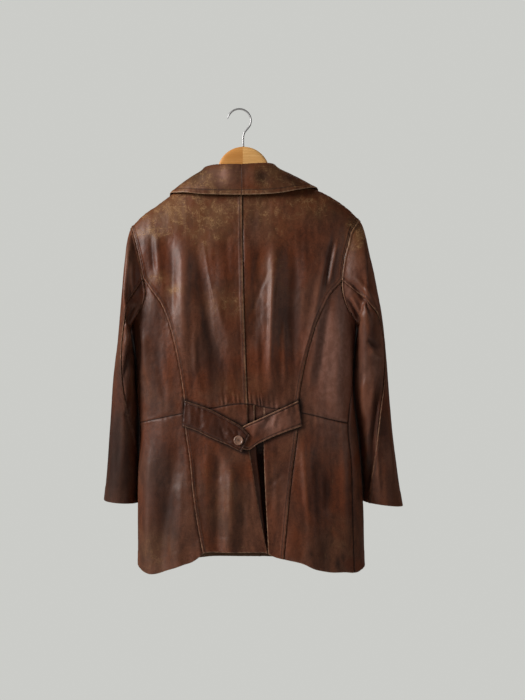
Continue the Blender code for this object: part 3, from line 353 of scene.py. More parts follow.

# %% [markdown]
# ## Creases and gathers
#
# Old leather keeps its creases: soft ridges where it was pushed up, troughs where it was
# pulled in, and short puckers where a longer edge was eased into a seam. Each one is placed
# as a row of a table: where it starts, where it ends, how wide and how high. Between them
# the skin is never flat, so a sum of long soft waves with a fixed seed lies under them. A cloth
# simulation would make creases too, but not these ones.

# %% Creases given one by one
CREASES = rows(
    "side  x_top  top  x_end  end  width  height  bow",
    # upper back, left
    (-1, -107.0, 230, -104.0, 500, 12.0,  1.6,  2),
    (-1, -135.0, 260, -128.0, 430,  8.0, -2.0,  0),
    (-1,  -70.0, 260,  -43.0, 415,  3.0,  1.0,  2),
    (-1,  -86.0, 255,  -40.0, 540, 10.0, -2.4,  4),
    (-1,  -56.0, 330,  -18.0, 470,  6.0,  1.0,  3),
    (-1,  -25.0, 240,  -18.0, 360,  9.0, -1.2,  1),
    (-1,  -90.0, 440,  -72.0, 590,  7.0,  1.4,  2),
    (-1, -162.0, 245, -155.0, 355,  6.0,  2.0,  2),
    (-1, -175.0, 245, -169.0, 335,  4.5, -2.2,  2),
    # upper back, right
    (-1,   71.5, 305,   61.0, 560,  5.0,  2.4,  2),
    (-1,  112.0, 250,  109.0, 580, 12.0, -3.4,  2),
    (-1,  178.0, 265,  120.0, 540,  7.5,  3.0, -4),
    (-1,   90.0, 410,   93.0, 570,  6.0,  1.8,  1),
    (-1,   63.6, 315,   20.9, 436,  4.5, -1.5,  2),
    (-1,   56.0, 335,   18.0, 450,  4.5,  1.0,  2),
    (-1,  193.0, 250,  169.0, 370,  4.8, -3.0,  1),
    (-1,  198.5, 265,  177.0, 368,  3.6,  2.6,  1),
    (-1,   40.0, 450,   43.0, 580,  6.0,  1.2,  2),
    # side backs
    (-1,  200.0, 390,  195.0, 650, 22.0,  6.5,  0),
    (-1,  186.0, 360,  152.0, 580,  7.0, -3.2,  2),
    (-1,  166.0, 390,  137.0, 580,  6.0,  1.4,  2),
    (-1,  212.0, 440,  210.0, 600,  6.0, -1.2,  2),
    (-1, -195.0, 430, -180.0, 550, 10.0,  2.2,  0),
    (-1, -188.0, 440, -185.0, 560,  8.0,  2.0,  0),
    (-1, -165.0, 450, -145.0, 600,  7.0, -2.0,  2),
    (-1, -199.0, 470, -170.0, 610,  6.0, -1.2,  3),
    # skirt, left
    (-1, -115.0, 650, -129.0, 770, 10.0, -1.6,  2),
    (-1, -126.0, 730, -158.0, 910, 10.0, -1.4,  4),
    (-1, -178.0, 660, -180.0, 900,  7.0,  2.0,  2),
    (-1, -128.0, 790, -130.0, 910,  6.0,  1.8,  2),
    (-1,  -88.0, 670,  -70.0, 860,  8.0, -1.2,  2),
    (-1,  -36.0, 690,  -40.0, 750,  7.0, -2.2,  0),
    (-1,  -13.0, 720,  -18.0, 830,  8.0,  2.2,  2),
    (-1,    8.0, 775,   10.0, 845,  6.0, -1.8,  0),
    (-1,  -62.0, 660,  -55.0, 820,  8.0,  1.2,  3),
    # skirt, right
    (-1,   90.0, 727,   60.0, 753,  5.0, -1.6,  1),
    (-1,  126.0, 650,  140.0, 830,  6.0,  1.8,  2),
    (-1,  182.0, 720,  172.0, 820,  9.0, -2.0,  1),
    (-1,   78.0, 680,   75.0, 860,  7.0,  1.4,  2),
    (-1,  213.0, 650,  218.0, 880,  8.0,  1.8,  3),
    (-1,  156.0, 670,  165.0, 900,  7.0, -1.2,  3),
    # fronts
    ( 1, -160.0, 300, -145.0, 520,  9.0,  3.4,  3),
    ( 1, -110.0, 360,  -80.0, 620,  9.0, -3.0,  4),
    ( 1,  -60.0, 450,  -70.0, 800, 10.0,  2.6,  4),
    ( 1, -180.0, 600, -170.0, 900, 10.0, -3.0,  3),
    ( 1, -105.0, 680, -120.0, 900,  8.0,  2.4,  2),
    ( 1,  170.0, 300,  150.0, 540,  9.0,  3.4,  3),
    ( 1,  120.0, 380,  100.0, 660,  9.0, -3.0,  4),
    ( 1,   80.0, 500,   95.0, 860, 10.0,  2.6,  4),
    ( 1,  195.0, 600,  190.0, 900, 10.0, -3.0,  3),
    ( 1,  140.0, 700,  150.0, 900,  8.0,  2.2,  2))

CREASE_STRENGTH = 1.16
CREASE_FADE = 0.3                 # the share of its length in which a crease rises, and dies out


def crease_height(x, drop, side, table):
    """The summed height of a table's creases at places on one side of the coat."""
    height = np.zeros_like(x)
    for row in each_row(table):
        if row["side"] != side:
            continue
        dx, dd = row["x_end"] - row["x_top"], row["end"] - row["top"]
        length = math.hypot(dx, dd)
        run = ((x - row["x_top"]) * dx + (drop - row["top"]) * dd) / length ** 2
        off = ((x - row["x_top"]) * dd - (drop - row["top"]) * dx) / length
        off = off + row["bow"] * 4 * run * (1 - run)
        fade = ease(run / CREASE_FADE) * ease((1 - run) / CREASE_FADE)
        height += CREASE_STRENGTH * row["height"] * fade * np.exp(-(off / row["width"]) ** 2)
    return height


# %% Soft waves and gathers
def wave_set(seed, count, shortest, longest, stretch):
    """Sine waves with random ways and phases; `stretch` makes them longer down the coat."""
    chance = np.random.default_rng(seed)
    pace = 2 * math.pi / np.exp(chance.uniform(math.log(shortest), math.log(longest), count))
    turn = chance.uniform(0, 2 * math.pi, count)
    return np.stack([pace * np.cos(turn), pace * np.sin(turn) / stretch,
                     chance.uniform(0, 2 * math.pi, count)])


# The long soft waves, the upright hanging ones and the small ones, each with its height.
WAVES = ((0.0008, wave_set(11, 22, 0.035, 0.110, 2.6)),
         (0.00020, wave_set(23, 22, 0.012, 0.030, 6.0)),
         (0.00012, wave_set(31, 26, 0.007, 0.018, 1.8)))
SIDE_PHASE = 1.7                  # sets the fronts' waves apart from the back's


def waves(x, drop, side, chosen):
    """The sum of a set's waves, about as high as one of them."""
    total = np.zeros_like(x)
    for across, downwards, phase in chosen.T:
        total += np.sin(across * x + downwards * drop + phase + SIDE_PHASE * side)
    return total / math.sqrt(len(chosen.T))


# Where the leather is gathered into the waist seam: the middle, half width and height of each
# group, and how far apart its puckers are.
GATHERS = rows(
    "x  width  height  pitch",
    (-18, 28, 1.0, 11),
    ( 33, 22, 1.3,  8),
    ( 80, 26, 0.5, 13),
    (-75, 24, 0.5, 14))
GATHER_REACH = 0.017
GATHER_BELOW = 0.45               # below the seam the puckers are this much shorter
GATHER_SLANT = 0.12


def gather_height(x, drop):
    """Short upright puckers above the waist seam, and shorter ones below it."""
    above = drop_at(WAIST_SEAM, x) - drop
    reach = np.where(above > 0, GATHER_REACH, GATHER_REACH * GATHER_BELOW)
    fade = np.exp(-(above / reach) ** 2)
    height = np.zeros_like(x)
    for row in each_row(GATHERS):
        near = np.exp(-((x - row["x"]) / row["width"]) ** 4)
        beat = 2 * math.pi * (x + GATHER_SLANT * above) / row["pitch"]
        height += row["height"] * near * np.sin(beat + 1.3 * np.sin(beat * 0.37)) * fade
    return height


def share_behind(normals):
    """1 where the leather faces the back, 0 where it faces the front, smooth at the sides."""
    return ease((0.25 - normals[..., 1]) / 0.5)


def skin_height(points, normals, table=CREASES):
    """How far the leather stands out from the plain form, at points with these normals."""
    x, drop = points[..., 0], -points[..., 2]
    behind = share_behind(normals)
    total = np.zeros_like(x)
    for side, share in ((-1, behind), (1, 1 - behind)):
        height = crease_height(x, drop, side, table)
        for tall, chosen in WAVES:
            height += tall * waves(x, drop, side, chosen)
        if side < 0:
            height += gather_height(x, drop)
        total += share * height
    return total


print("creases:", len(CREASES["side"]), "and", len(GATHERS["x"]), "groups of gathers")

# %% [markdown]
# ## Where the coat is worn, and where shade and sheen are painted
#
# Shoulders and collar rub against straps, seats and door frames, so the finish is scuffed off
# there first. Each scuff or stain is a soft patch with a place, a size and a strength, and so are
# the broad dark patches of painted shade and the pale patches of painted sheen.

# %% Scuffs, stains, painted shade and painted sheen
SCUFFS = rows(
    "side  x  drop  wide  tall  amount",
    (-1, -135, 205, 100, 43, 1.00),
    (-1,  -65, 225,  60, 50, 0.90),
    (-1, -170, 248,  40, 20, 0.85),
    (-1,  -15, 210,  40, 40, 0.60),
    (-1,   50, 205,  70, 30, 0.55),
    (-1,  140, 195,  70, 30, 0.55),
    (-1,   65, 240,  40, 35, 0.35),
    (-1, -158, 343,  20, 12, 0.90),
    (-1, -130, 365,  20, 10, 0.80),
    (-1,  -15, 388,  20, 10, 0.80),
    (-1,  -20, 390,  50, 35, 0.40),
    (-1,   70, 330,  30, 50, 0.30),
    (-1,  235, 250,  22, 35, 0.95),
    (-1,    0, 560,  50, 30, 0.30),
    (-1,  -85, 150,  60, 25, 0.90),
    (-1,  -30, 130,  35, 16, 0.60),
    (-1,   65, 135,  40, 30, 0.80),
    (-1,  120, 156,  40, 15, 0.60),
    (-1,  -30, 172, 120,  8, 0.60),
    (-1, -220, 300,  20, 40, 0.30),
    (-1, -165, 880,  40, 50, 0.35),
    (-1,  -30, 760,  50, 80, 0.25),
    (-1,  200, 870,  40, 50, 0.25),
    ( 1, -120, 220,  80, 35, 0.70),
    ( 1,  130, 210,  80, 35, 0.60))
# Real stains, and dark patches of painted shade along the creases and over broad shaded areas.
STAINS_AND_SHADE = rows(
    "side  x  drop  wide  tall  amount",
    (-1,  -40, 456, 12,  20, 0.50),
    (-1,  196, 906,  6,  14, 0.90),
    (-1,  206, 895,  5,  10, 0.75),
    (-1,  144, 885,  3,   5, 0.80),
    (-1,   30, 225, 12,  20, 0.35),
    (-1,   46, 140, 18,  13, 0.80),
    (-1,  -95, 133, 30,  18, 0.55),
    (-1,  100, 142, 26,  12, 0.62),
    (-1,    8, 125,  8,  30, 0.30),
    (-1, -120, 330,  6,  10, 0.25),
    # Dark patches along the left skirt's trough: painted shade.
    (-1, -130, 720, 10,  50, 0.45),
    (-1, -150, 800,  9,  60, 0.45),
    (-1, -190, 500, 12,  50, 0.35),
    (-1,  -90, 520, 15,  60, 0.20),
    (-1,  -50, 760, 20,  40, 0.30),
    (-1,  110, 390, 12,  60, 0.25),
    # Broad patches of painted shade: the lower sleeves, the left skirt, the upper back and the
    # left side back.
    (-1, -250, 700, 52, 160, 0.92),
    (-1, -148, 770, 48, 160, 0.76),
    (-1,  -43, 475, 40, 100, 0.45),
    (-1, -178, 480, 30,  90, 0.42),
    (-1,  -30, 770, 45,  80, 0.30),
    (-1,  310, 720, 30, 100, 0.25))
# Pale greyish pink patches: painted sheen, where highlights fall on the leather.
PAINTED_SHEEN_PATCHES = rows(
    "side  x  drop  wide  tall  amount",
    (-1,  187, 510, 42, 130, 1.45),
    (-1,  130, 450, 12,  60, 0.35),
    (-1,   64, 400,  9, 120, 0.45),
    (-1, -108, 345, 16, 100, 0.45),
    (-1,  -27, 140, 20,  20, 1.40),
    (-1,  -90, 162, 30,   5, 0.40),
    (-1, -195, 490,  6,  50, 0.45),
    (-1,   65, 626, 40,  28, 1.00),
    (-1, -218, 316, 10,  50, 0.70),
    (-1,  276, 515, 12,  40, 0.55),
    (-1,  260, 560,  8,  50, 0.45),
    (-1,  -35, 730, 10,  40, 0.35),
    (-1, -175, 770, 12, 100, 0.30),
    (-1,   90, 800, 15,  90, 0.25),
    ( 1,  130, 500, 30, 120, 0.35),
    ( 1, -130, 400, 30, 120, 0.35))


def patches(points, behind, table):
    """How strongly a table's patches act at each place: the strongest one that reaches it."""
    x, drop = points[..., 0], -points[..., 2]
    total = np.zeros_like(x)
    for row in each_row(table):
        share = behind if row["side"] < 0 else 1 - behind
        spot = np.exp(-((x - row["x"]) / row["wide"]) ** 2
                      - ((drop - row["drop"]) / row["tall"]) ** 2)
        total = np.maximum(total, row["amount"] * spot * share)
    return total


print("patches:", len(SCUFFS["side"]), "scuffed,", len(STAINS_AND_SHADE["side"]), "stained and",
      len(PAINTED_SHEEN_PATCHES["side"]), "pale")

# %% Painted shadow beside the half belt
# The half belt's two tabs: places along the upper and the lower edge, and how far the tab
# stands off the back there.
TABS = {"left": rows(
    "upper_x  upper  lower_x  lower  lift",
    (-105.7, 584.6, -110.2, 634.7, 2.4),
    ( -80.0, 593.0,  -83.0, 644.0, 2.8),
    ( -53.7, 602.6,  -56.0, 657.0, 3.6),
    ( -33.0, 613.5,  -37.0, 665.0, 5.0),
    ( -13.6, 624.3,  -20.0, 672.0, 7.2),
    (   6.4, 636.1,   -6.5, 679.0, 8.2),
    (  22.5, 652.8,    7.3, 685.7, 8.2)), "right": rows(
    "upper_x  upper  lower_x  lower  lift",
    (-12.0, 652.0, -11.0, 665.0, 3.6),
    (  0.0, 642.0,   3.0, 676.0, 3.8),
    ( 10.6, 634.7,  15.5, 681.8, 4.0),
    ( 37.0, 622.5,  40.0, 669.0, 4.0),
    ( 64.1, 609.7,  66.1, 656.9, 3.6),
    ( 91.0, 597.5,  95.0, 645.5, 2.8),
    (118.7, 584.6, 125.6, 634.7, 2.4))}
BELT_SHADOW_REACH = 0.0050


def belt_shadow(x, drop):
    """Painted shadow of the half belt on the leather under it and just beside its edges, from 0
    to 1.
    """
    darkening = np.zeros_like(x)
    for table in TABS.values():
        upper, lower = (along(table, key, key + "_x", x) for key in ("upper", "lower"))
        ends = (table["upper_x"] + table["lower_x"])[[0, -1]] / 2
        beside = np.maximum.reduce([upper - drop, drop - lower, ends[0] - x, x - ends[1]])
        darkening = np.maximum(darkening, np.exp(-(np.maximum(beside, 0) / BELT_SHADOW_REACH) ** 2))
    return darkening


# %% [markdown]
# ## From four edges to a wall of leather
#
# A panel is known by its four cut edges, so a grid is laid between them on the body's form.
# The grid's lines are then spaced anew: even in the middle, and close together beside every
# edge, where a real panel shows most: the leather turns down into a sewn seam, stands up where
# it is lapped and topstitched, and rounds over at a turned hem. A subdivision surface would
# round those edges too, but it can't tell a lapped seam from a hem.

# %% Spacing a grid
EDGE_LINES = np.array([0.0, 0.7, 1.6, 2.8, 4.0, 5.0, 6.0, 7.5, 9.5]) * MM
SHORT_LENGTH = 0.030              # on a shorter length the lines beside the ends move closer


def spaced(length, count):
    """Positions along a length: close together beside both ends, and even between."""
    near = EDGE_LINES * min(1.0, length / SHORT_LENGTH)
    middle = np.linspace(near[-1], length - near[-1], count - 2 * len(near) + 2)[1:-1]
    return np.concatenate([near, middle, length - near[::-1]])


def lengths(grid):
    """How far along its row each place of a grid is."""
    steps = np.linalg.norm(np.diff(grid, axis=1), axis=-1)
    return np.concatenate([np.zeros((len(grid), 1)), np.cumsum(steps, axis=1)], axis=1)


def respaced_rows(grid, step):
    """The grid with new places along its rows, about a step apart."""
    run = lengths(grid)
    inner = max(float(run[:, -1].max()) - 2 * EDGE_LINES[-1], step)
    count = 2 * len(EDGE_LINES) + max(int(inner / step), 2)
    new = np.empty((len(grid), count, 3))
    for i, row in enumerate(grid):
        at = spaced(run[i, -1], count)
        for axis in range(3):
            new[i, :, axis] = np.interp(at, run[i], row[:, axis])
    return new


def respaced(grid, step):
    """The grid spaced anew along its rows and its columns."""
    grid = respaced_rows(grid, step)
    return respaced_rows(grid.transpose(1, 0, 2), step).transpose(1, 0, 2)


def walk(line, shares):
    """Girth angles and drops at these shares of a line's real length on the coat."""
    place = body_point(line[:, 0], line[:, 1])
    run = np.append(0.0, np.cumsum(np.linalg.norm(np.diff(place, axis=0), axis=1)))
    return np.stack([np.interp(shares * run[-1], run, line[:, k]) for k in (0, 1)], axis=-1)


BEND_POWER = 4
DOWN_SHARES = np.linspace(0, 1, 200) ** 1.6      # closer at the top, where shoulders roll
ACROSS_SHARES = np.linspace(0, 1, 110)


def fill(top, bottom, left, right):
    """Fill a panel between its four edge lines; rows run down and columns across."""
    top, bottom = walk(top, ACROSS_SHARES), walk(bottom, ACROSS_SHARES)
    left, right = walk(left, DOWN_SHARES), walk(right, DOWN_SHARES)
    u, v = ACROSS_SHARES[:, None], DOWN_SHARES[:, None, None]
    straight = (1 - u) * left[:, None] + u * right[:, None]
    top_bend = top - (1 - u) * top[0] - u * top[-1]
    bottom_bend = bottom - (1 - u) * bottom[0] - u * bottom[-1]
    cut = straight + (1 - v) ** BEND_POWER * top_bend + v ** BEND_POWER * bottom_bend
    return body_point(cut[..., 0], cut[..., 1])


# %% Seams, hems and laps in relief
# What each kind of edge does to the leather beside it, in millimetres: how deep the edge sinks
# and over what width, how high a lapped strip stands and how wide it is, how far a row of
# stitches pulls in, and how worn the edge, how worn the strip and how dark the edge is, from
# dirt and painted shade (0 to 1).
EDGE_KINDS = {
    label: dict(zip(("sink", "reach", "lift", "strip", "pull", "worn", "band", "dirt"), values))
    for label, *values in (
        ("sewn", 1.2, 1.8, 0.0, 0.0, 0.0, 0.25, 0.00, 1.0),
        ("over", 0.5, 0.8, 1.3, 6.2, 0.7, 0.62, 0.12, 0.0),
        ("ridge", 0.5, 0.8, 1.6, 6.2, 0.5, 0.90, 0.32, 0.0),
        ("under", 1.2, 2.4, 0.0, 0.0, 0.0, 0.00, 0.00, 1.0),
        ("turned", 0.6, 0.9, 0.0, 0.0, 0.0, 0.90, 0.00, 0.0),
        ("stitched", 0.9, 1.1, 0.6, 3.2, 1.5, 0.80, 0.12, 0.0),
        ("rolled", 0.8, 1.0, 1.2, 4.0, 0.0, 0.80, 0.35, 0.0),
        ("collar", 0.6, 1.0, 0.6, 9.0, 0.8, 1.00, 0.25, 0.0),
        ("hem", 0.6, 0.9, 0.5, 27.0, 0.0, 0.85, 0.00, 0.0))}
STITCH_LINES = {"over": 5, "ridge": 5, "stitched": 4, "collar": 8}    # the edge line that is sewn
TUCK = 2.4 * MM                   # an under edge is tucked this far below the edge over it
PUCKER_HEIGHT = 0.30 * MM
PUCKER_PITCH = 13 * MM
PUCKER_REACH = 8 * MM
# The rest is in millimetres: how wide a strip's step is, a stitched groove, the wear beside an
# edge, the dirt and painted shade beside it and in a stitched groove, and how dark that is (0 to
# 1).
STEP_WIDTH, GROOVE_WIDTH, WEAR_WIDTH, DIRT_AND_SHADE_WIDTH = 1.6, 1.1, 1.5, 1.3
GROOVE_DIRT_AND_SHADE_WIDTH, GROOVE_DIRT_AND_SHADE = 0.9, 0.7


def edge_relief(label, distance, run):
    """Height, wear, and dirt with painted shade that one edge brings, at a distance from it and
    along it.
    """
    if label == "under":
        distance = np.maximum(distance - TUCK, 0.0)
    kind, to_mm = EDGE_KINDS[label], distance / MM
    stitched = to_mm - EDGE_LINES[STITCH_LINES.get(label, 0)] / MM
    height = -kind["sink"] * np.exp(-(to_mm / kind["reach"]) ** 2)
    if kind["strip"]:
        height += kind["lift"] * (1 - ease((to_mm - kind["strip"]) / STEP_WIDTH))
    if kind["pull"]:
        height -= kind["pull"] * np.exp(-(stitched / GROOVE_WIDTH) ** 2)
    beat = 2 * math.pi * run / PUCKER_PITCH
    ripple = np.sin(beat + 1.5 * np.sin(beat * 0.31) + 2.0 * np.sin(beat * 0.13))
    pucker = PUCKER_HEIGHT * ripple * np.exp(-(distance / PUCKER_REACH) ** 2)
    worn = kind["worn"] * np.exp(-(to_mm / WEAR_WIDTH) ** 2) * (0.75 + 0.25 * ripple)
    worn += kind["band"] * (1 - ease((to_mm - kind["strip"]) / STEP_WIDTH))
    # Darkening beside the edge: dirt in the seam, and painted shade under a lapped edge and in a
    # stitched groove.
    dirt = kind["dirt"] * np.exp(-(to_mm / DIRT_AND_SHADE_WIDTH) ** 2)
    if kind["pull"]:
        dirt += GROOVE_DIRT_AND_SHADE * np.exp(-(stitched / GROOVE_DIRT_AND_SHADE_WIDTH) ** 2)
    return height * MM + pucker, worn, dirt


# %% Directions, and edges drawn back
def square_to(grid):
    """Directions square to a grid of points."""
    return unit(np.cross(np.gradient(grid, axis=1), np.gradient(grid, axis=0)))


def outward(grid, inside):
    """Directions square to a grid, on the side away from the point `inside`."""
    way = square_to(grid)
    level = np.array([1.0, 1.0, 0.0])
    facing = np.mean(np.sum(way * (grid - inside) * level, axis=-1))
    return way * np.sign(facing)


def draw_back(grid, edges):
    """Draw a grid's edges back by half a seam's gap, or tuck them under the next piece."""
    grid = grid.copy()
    for label, edge, near in zip(edges, (grid[:, 0], grid[:, -1], grid[0], grid[-1]),
                                 (grid[:, 2], grid[:, -3], grid[2], grid[-3])):
        line = unit(np.gradient(edge, axis=0))
        way = near - edge
        way = way - np.sum(way * line, axis=-1, keepdims=True) * line
        edge += unit(way) * (-TUCK if label == "under" else SEAM_GAP / 2)
    return grid


# %% Close a grid into a wall
RIM_BULGE = 0.3                   # how far a rim bulges, as a share of the wall's thickness
pieces = {}


def add_object(name, data):
    """Put a mesh, a light or a camera into the scene."""
    thing = bpy.data.objects.new(name, data)
    bpy.context.collection.objects.link(thing)
    return thing


def face_outwards(mesh):
    """Turn every face of a closed mesh outwards."""
    work = bmesh.new()
    work.from_mesh(mesh)
    bmesh.ops.recalc_face_normals(work, faces=work.faces)
    work.to_mesh(mesh)
    work.free()


def rim_of(count, width):
    """The rows and the columns of a grid's outermost places, once round."""
    rim = [(i, 0) for i in range(count)] + [(count - 1, j) for j in range(1, width)]
    rim += [(i, width - 1) for i in range(count - 2, -1, -1)]
    rim += [(0, j) for j in range(width - 2, 0, -1)]
    return tuple(np.array(rim).T)


def wall_faces(count, width, rim):
    """Faces of the outer side, of the inner side, and of the rim that joins them."""
    inner = count * width
    number = np.arange(inner).reshape(count, width)
    front = np.stack([number[:-1, :-1].ravel(), number[:-1, 1:].ravel(),
                      number[1:, 1:].ravel(), number[1:, :-1].ravel()], axis=1)
    start = number[rim]
    ring = np.arange(len(start)) + 2 * inner
    after = np.roll(np.arange(len(start)), -1)
    first = np.stack([start, start[after], ring[after], ring], axis=1)
    second = np.stack([ring, ring[after], start[after] + inner, start + inner], axis=1)
    return front, front[:, ::-1] + inner, np.concatenate([first, second])


def make_wall(name, outer, away, thick, values, rounded):
    """Close an outer grid of points into a wall with a rounded rim, and name it."""
    count, width = outer.shape[:2]
    inner = outer - away * (thick - rounded[..., None])
    rim = rim_of(count, width)
    near = np.clip(rim[0], 1, count - 2), np.clip(rim[1], 1, width - 2)
    edge, behind = outer[rim], inner[rim]
    bulge = unit(edge - outer[near]) * np.linalg.norm(edge - behind, axis=1)[:, None] * RIM_BULGE
    points = np.concatenate([outer.reshape(-1, 3), inner.reshape(-1, 3),
                             (edge + behind) / 2 + bulge])
    sides = wall_faces(count, width, rim)
    mesh = bpy.data.meshes.new(name)
    mesh.from_pydata(points.tolist(), [], np.concatenate(sides).tolist())
    flesh_side = np.repeat(np.array([0, 1, 0], dtype=np.int32), [len(side) for side in sides])
    mesh.polygons.foreach_set("material_index", flesh_side)
    for label, value in values.items():
        layer = mesh.attributes.new(label, "FLOAT", "POINT")
        every = np.concatenate([value.ravel(), value.ravel(), value[rim]])
        layer.data.foreach_set("value", every.astype(np.float32))
    face_outwards(mesh)
    mesh.shade_smooth()
    pieces[name] = add_object(name, mesh)
    print(f"{name}: {count} x {width} places, {len(mesh.polygons)} faces")


# %% Sew a panel
ROUNDED_EDGES = ("turned", "stitched", "collar", "hem")
ROUNDING = 0.55                   # how much of its thickness a rounded edge loses behind
CREASE_CALM = 0.012               # beside an edge, creases are lower over this width
CREASE_AT_EDGE = 0.25
STITCH_LIFT = 0.1 * MM
stitch_rows = []


def edge_effects(grid, edges, thick):
    """What the four edges bring: relief, wear, dirt with painted shade, rounding, and how near
    the nearest is.
    """
    across, down = lengths(grid), lengths(grid.transpose(1, 0, 2)).T
    distances = (across, across[:, -1:] - across, down, down[-1:] - down)
    relief, worn, dirt, rounded = (np.zeros(grid.shape[:2]) for _ in range(4))
    for label, distance, run in zip(edges, distances, (down, down, across, across)):
        if not label:
            continue
        height, wear, darkening = edge_relief(label, distance, run)
        relief, worn = relief + height, np.maximum(worn, wear)
        dirt = np.maximum(dirt, darkening)
        if label in ROUNDED_EDGES:
            rounded = np.maximum(rounded, ROUNDING * thick * np.exp(-(distance / MM) ** 2))
    return relief, worn, dirt, rounded, np.minimum.reduce(distances)


def keep_stitch_rows(surface, edges):
    """Keep the lines of places along which a panel's edges are topstitched."""
    for which, label in enumerate(edges):
        if label in STITCH_LINES:
            line = STITCH_LINES[label]
            lines = ((slice(None), line), (slice(None), -1 - line), line, -1 - line)
            stitch_rows.append(surface[lines[which]][line:-line])


def sew(name, raw, inside, edges, step, thick=LEATHER, table=CREASES, lively=1.0):
    """Turn a raw grid into a wall of leather with creases, edges, wear and stitch rows.

    `edges` names the kinds of the left, right, top and bottom edges, `table` holds the creases
    and `lively` says how strongly they show.
    """
    grid = draw_back(respaced(raw, step), edges)
    plain = outward(grid, inside)
    crease = lively * skin_height(grid, plain, table)
    relief, worn, dirt, rounded, nearest = edge_effects(grid, edges, thick)
    calm = ease(nearest / CREASE_CALM + CREASE_AT_EDGE)
    outer = grid + plain * (crease * calm + relief)[..., None]
    away = outward(outer, inside)
    keep_stitch_rows(outer + away * STITCH_LIFT, edges)
    behind = share_behind(away)
    if not name.startswith("belt"):
        # The half belt's shadow is painted into the leather beside it, as darkening.
        dirt = np.maximum(dirt, behind * belt_shadow(outer[..., 0], -outer[..., 2]))
    # The crease height goes to the finish, which paints ridges paler and valleys darker with it.
    values = {"worn_edge": np.clip(worn, 0, 1), "dirt": np.clip(dirt, 0, 1),
              "rub": crease / MM, "scuff": patches(outer, behind, SCUFFS),
              "stain": patches(outer, behind, STAINS_AND_SHADE), "pale": patches(outer, behind, PAINTED_SHEEN_PATCHES)}
    make_wall(name, outer, away, thick, values, rounded)


# %% Lines between panels
def seam_line(seam, start, end):
    """A seam's girth angles and drops, from one drop to another."""
    drop = np.linspace(start, end, 80)
    return np.stack([seam(drop), drop], axis=-1)


def level_line(first, last, table):
    """A waist or hem line between two places, at the drops that its table gives."""
    angle = np.linspace(first[0], last[0], 90)
    line = np.stack([angle, settled(angle, np.full(len(angle), first[1]), table)], axis=-1)
    line[0], line[-1] = first, last
    return line


# %% [markdown]
# ## The back
#
# The back is cut in panels so that it can follow the wearer: a centre seam, two curved princess
# seams from the armholes, and a waist seam that the skirts hang from. The centre panels lap
# over their neighbours and are topstitched, so they stand up by the leather's thickness, and
# that raised lip is what wears pale first.

# %% Cut the back panels
FINE = 3.1 * MM                   # a step between the places of a grid
BODY_MIDDLE = np.array([0.02, 0.0, 0.0])
WAIST_START, HEM_START = 0.61, 0.90    # first guesses for where a seam crosses them
CENTRE_BACK_END = PLEAT_EDGE["left"]["drop"][0]


def back_upper(half):
    """An upper back, from the centre back seam to the armhole and the princess seam."""
    hole = half.hole(np.linspace(0, half.junction, 80))
    end = crossing(half.princess, WAIST_SEAM, WAIST_START)
    outer = np.concatenate([hole, seam_line(half.princess, hole[-1, 1], end)[1:]])
    neck = places(*half.neckline(np.radians(np.linspace(90, 0, 50))))
    top = np.concatenate([half.shoulder_seam(-1), neck[1:]])
    drop = np.linspace(neck[-1, 1], CENTRE_BACK_END, 120)
    centre = places(x_at(CENTRE_BACK_SEAM, drop), drop)
    outer[0] = top[0]
    raw = fill(top, level_line(outer[-1], centre[-1], WAIST_SEAM), outer, centre)
    at_centre = "ridge" if half.sign < 0 else "under"
    sew("upper_back_" + half.name, raw, BODY_MIDDLE, ("over", at_centre, "sewn", "sewn"), FINE)


def side_back(half):
    """A side back, from the princess seam to the side seam under the armhole."""
    top = half.hole(np.linspace(half.junction, 1, 80))
    inner = seam_line(half.princess, top[0, 1], crossing(half.princess, WAIST_SEAM, WAIST_START))
    seam = seam_line(half.side_seam, top[-1, 1],
                     crossing(half.side_seam, WAIST_SEAM, WAIST_START))
    inner[0], seam[0] = top[0], top[-1]
    raw = fill(top, level_line(inner[-1], seam[-1], WAIST_SEAM), inner, seam)
    sew("side_back_" + half.name, raw, BODY_MIDDLE, ("under", "sewn", "sewn", "sewn"), FINE)


def skirt(name, first, last, kinds):
    """A skirt panel between two seams, from the waist seam to the hem."""
    sides = [seam_line(seam, crossing(seam, WAIST_SEAM, WAIST_START),
                       crossing(seam, BACK_HEM, HEM_START)) for seam in (first, last)]
    raw = fill(level_line(sides[0][0], sides[1][0], WAIST_SEAM),
               level_line(sides[0][-1], sides[1][-1], BACK_HEM), *sides)
    sew(name, raw, BODY_MIDDLE, (*kinds, "sewn", "hem"), FINE)


for half in (LEFT, RIGHT):
    back_upper(half)
    side_back(half)
    skirt("side_skirt_piece_" + half.name, half.princess, half.side_seam, ("under", "sewn"))
    skirt("back_skirt_piece_" + half.name, half.princess, seam_by_x(PLEAT_EDGE[half.name]),
          ("over", "turned"))

# %% [markdown]
# ## The open pleat
#
# Below the waist the centre back opens in a pleat. Behind its two edges a folded strip of
# leather runs inwards and back out, so the pleat can spread when the wearer sits. It is made
# as one sheet bent into a channel that deepens downwards.

# %% Fold the strip behind the pleat
def smooth_rows(control, count):
    """Carry a smooth surface through a few rows of points."""
    steps = np.linalg.norm(np.diff(control, axis=0), axis=-1).mean(axis=1)
    run = np.append(0.0, np.cumsum(steps))
    return curve_through(run, control, np.linspace(0, run[-1], count))


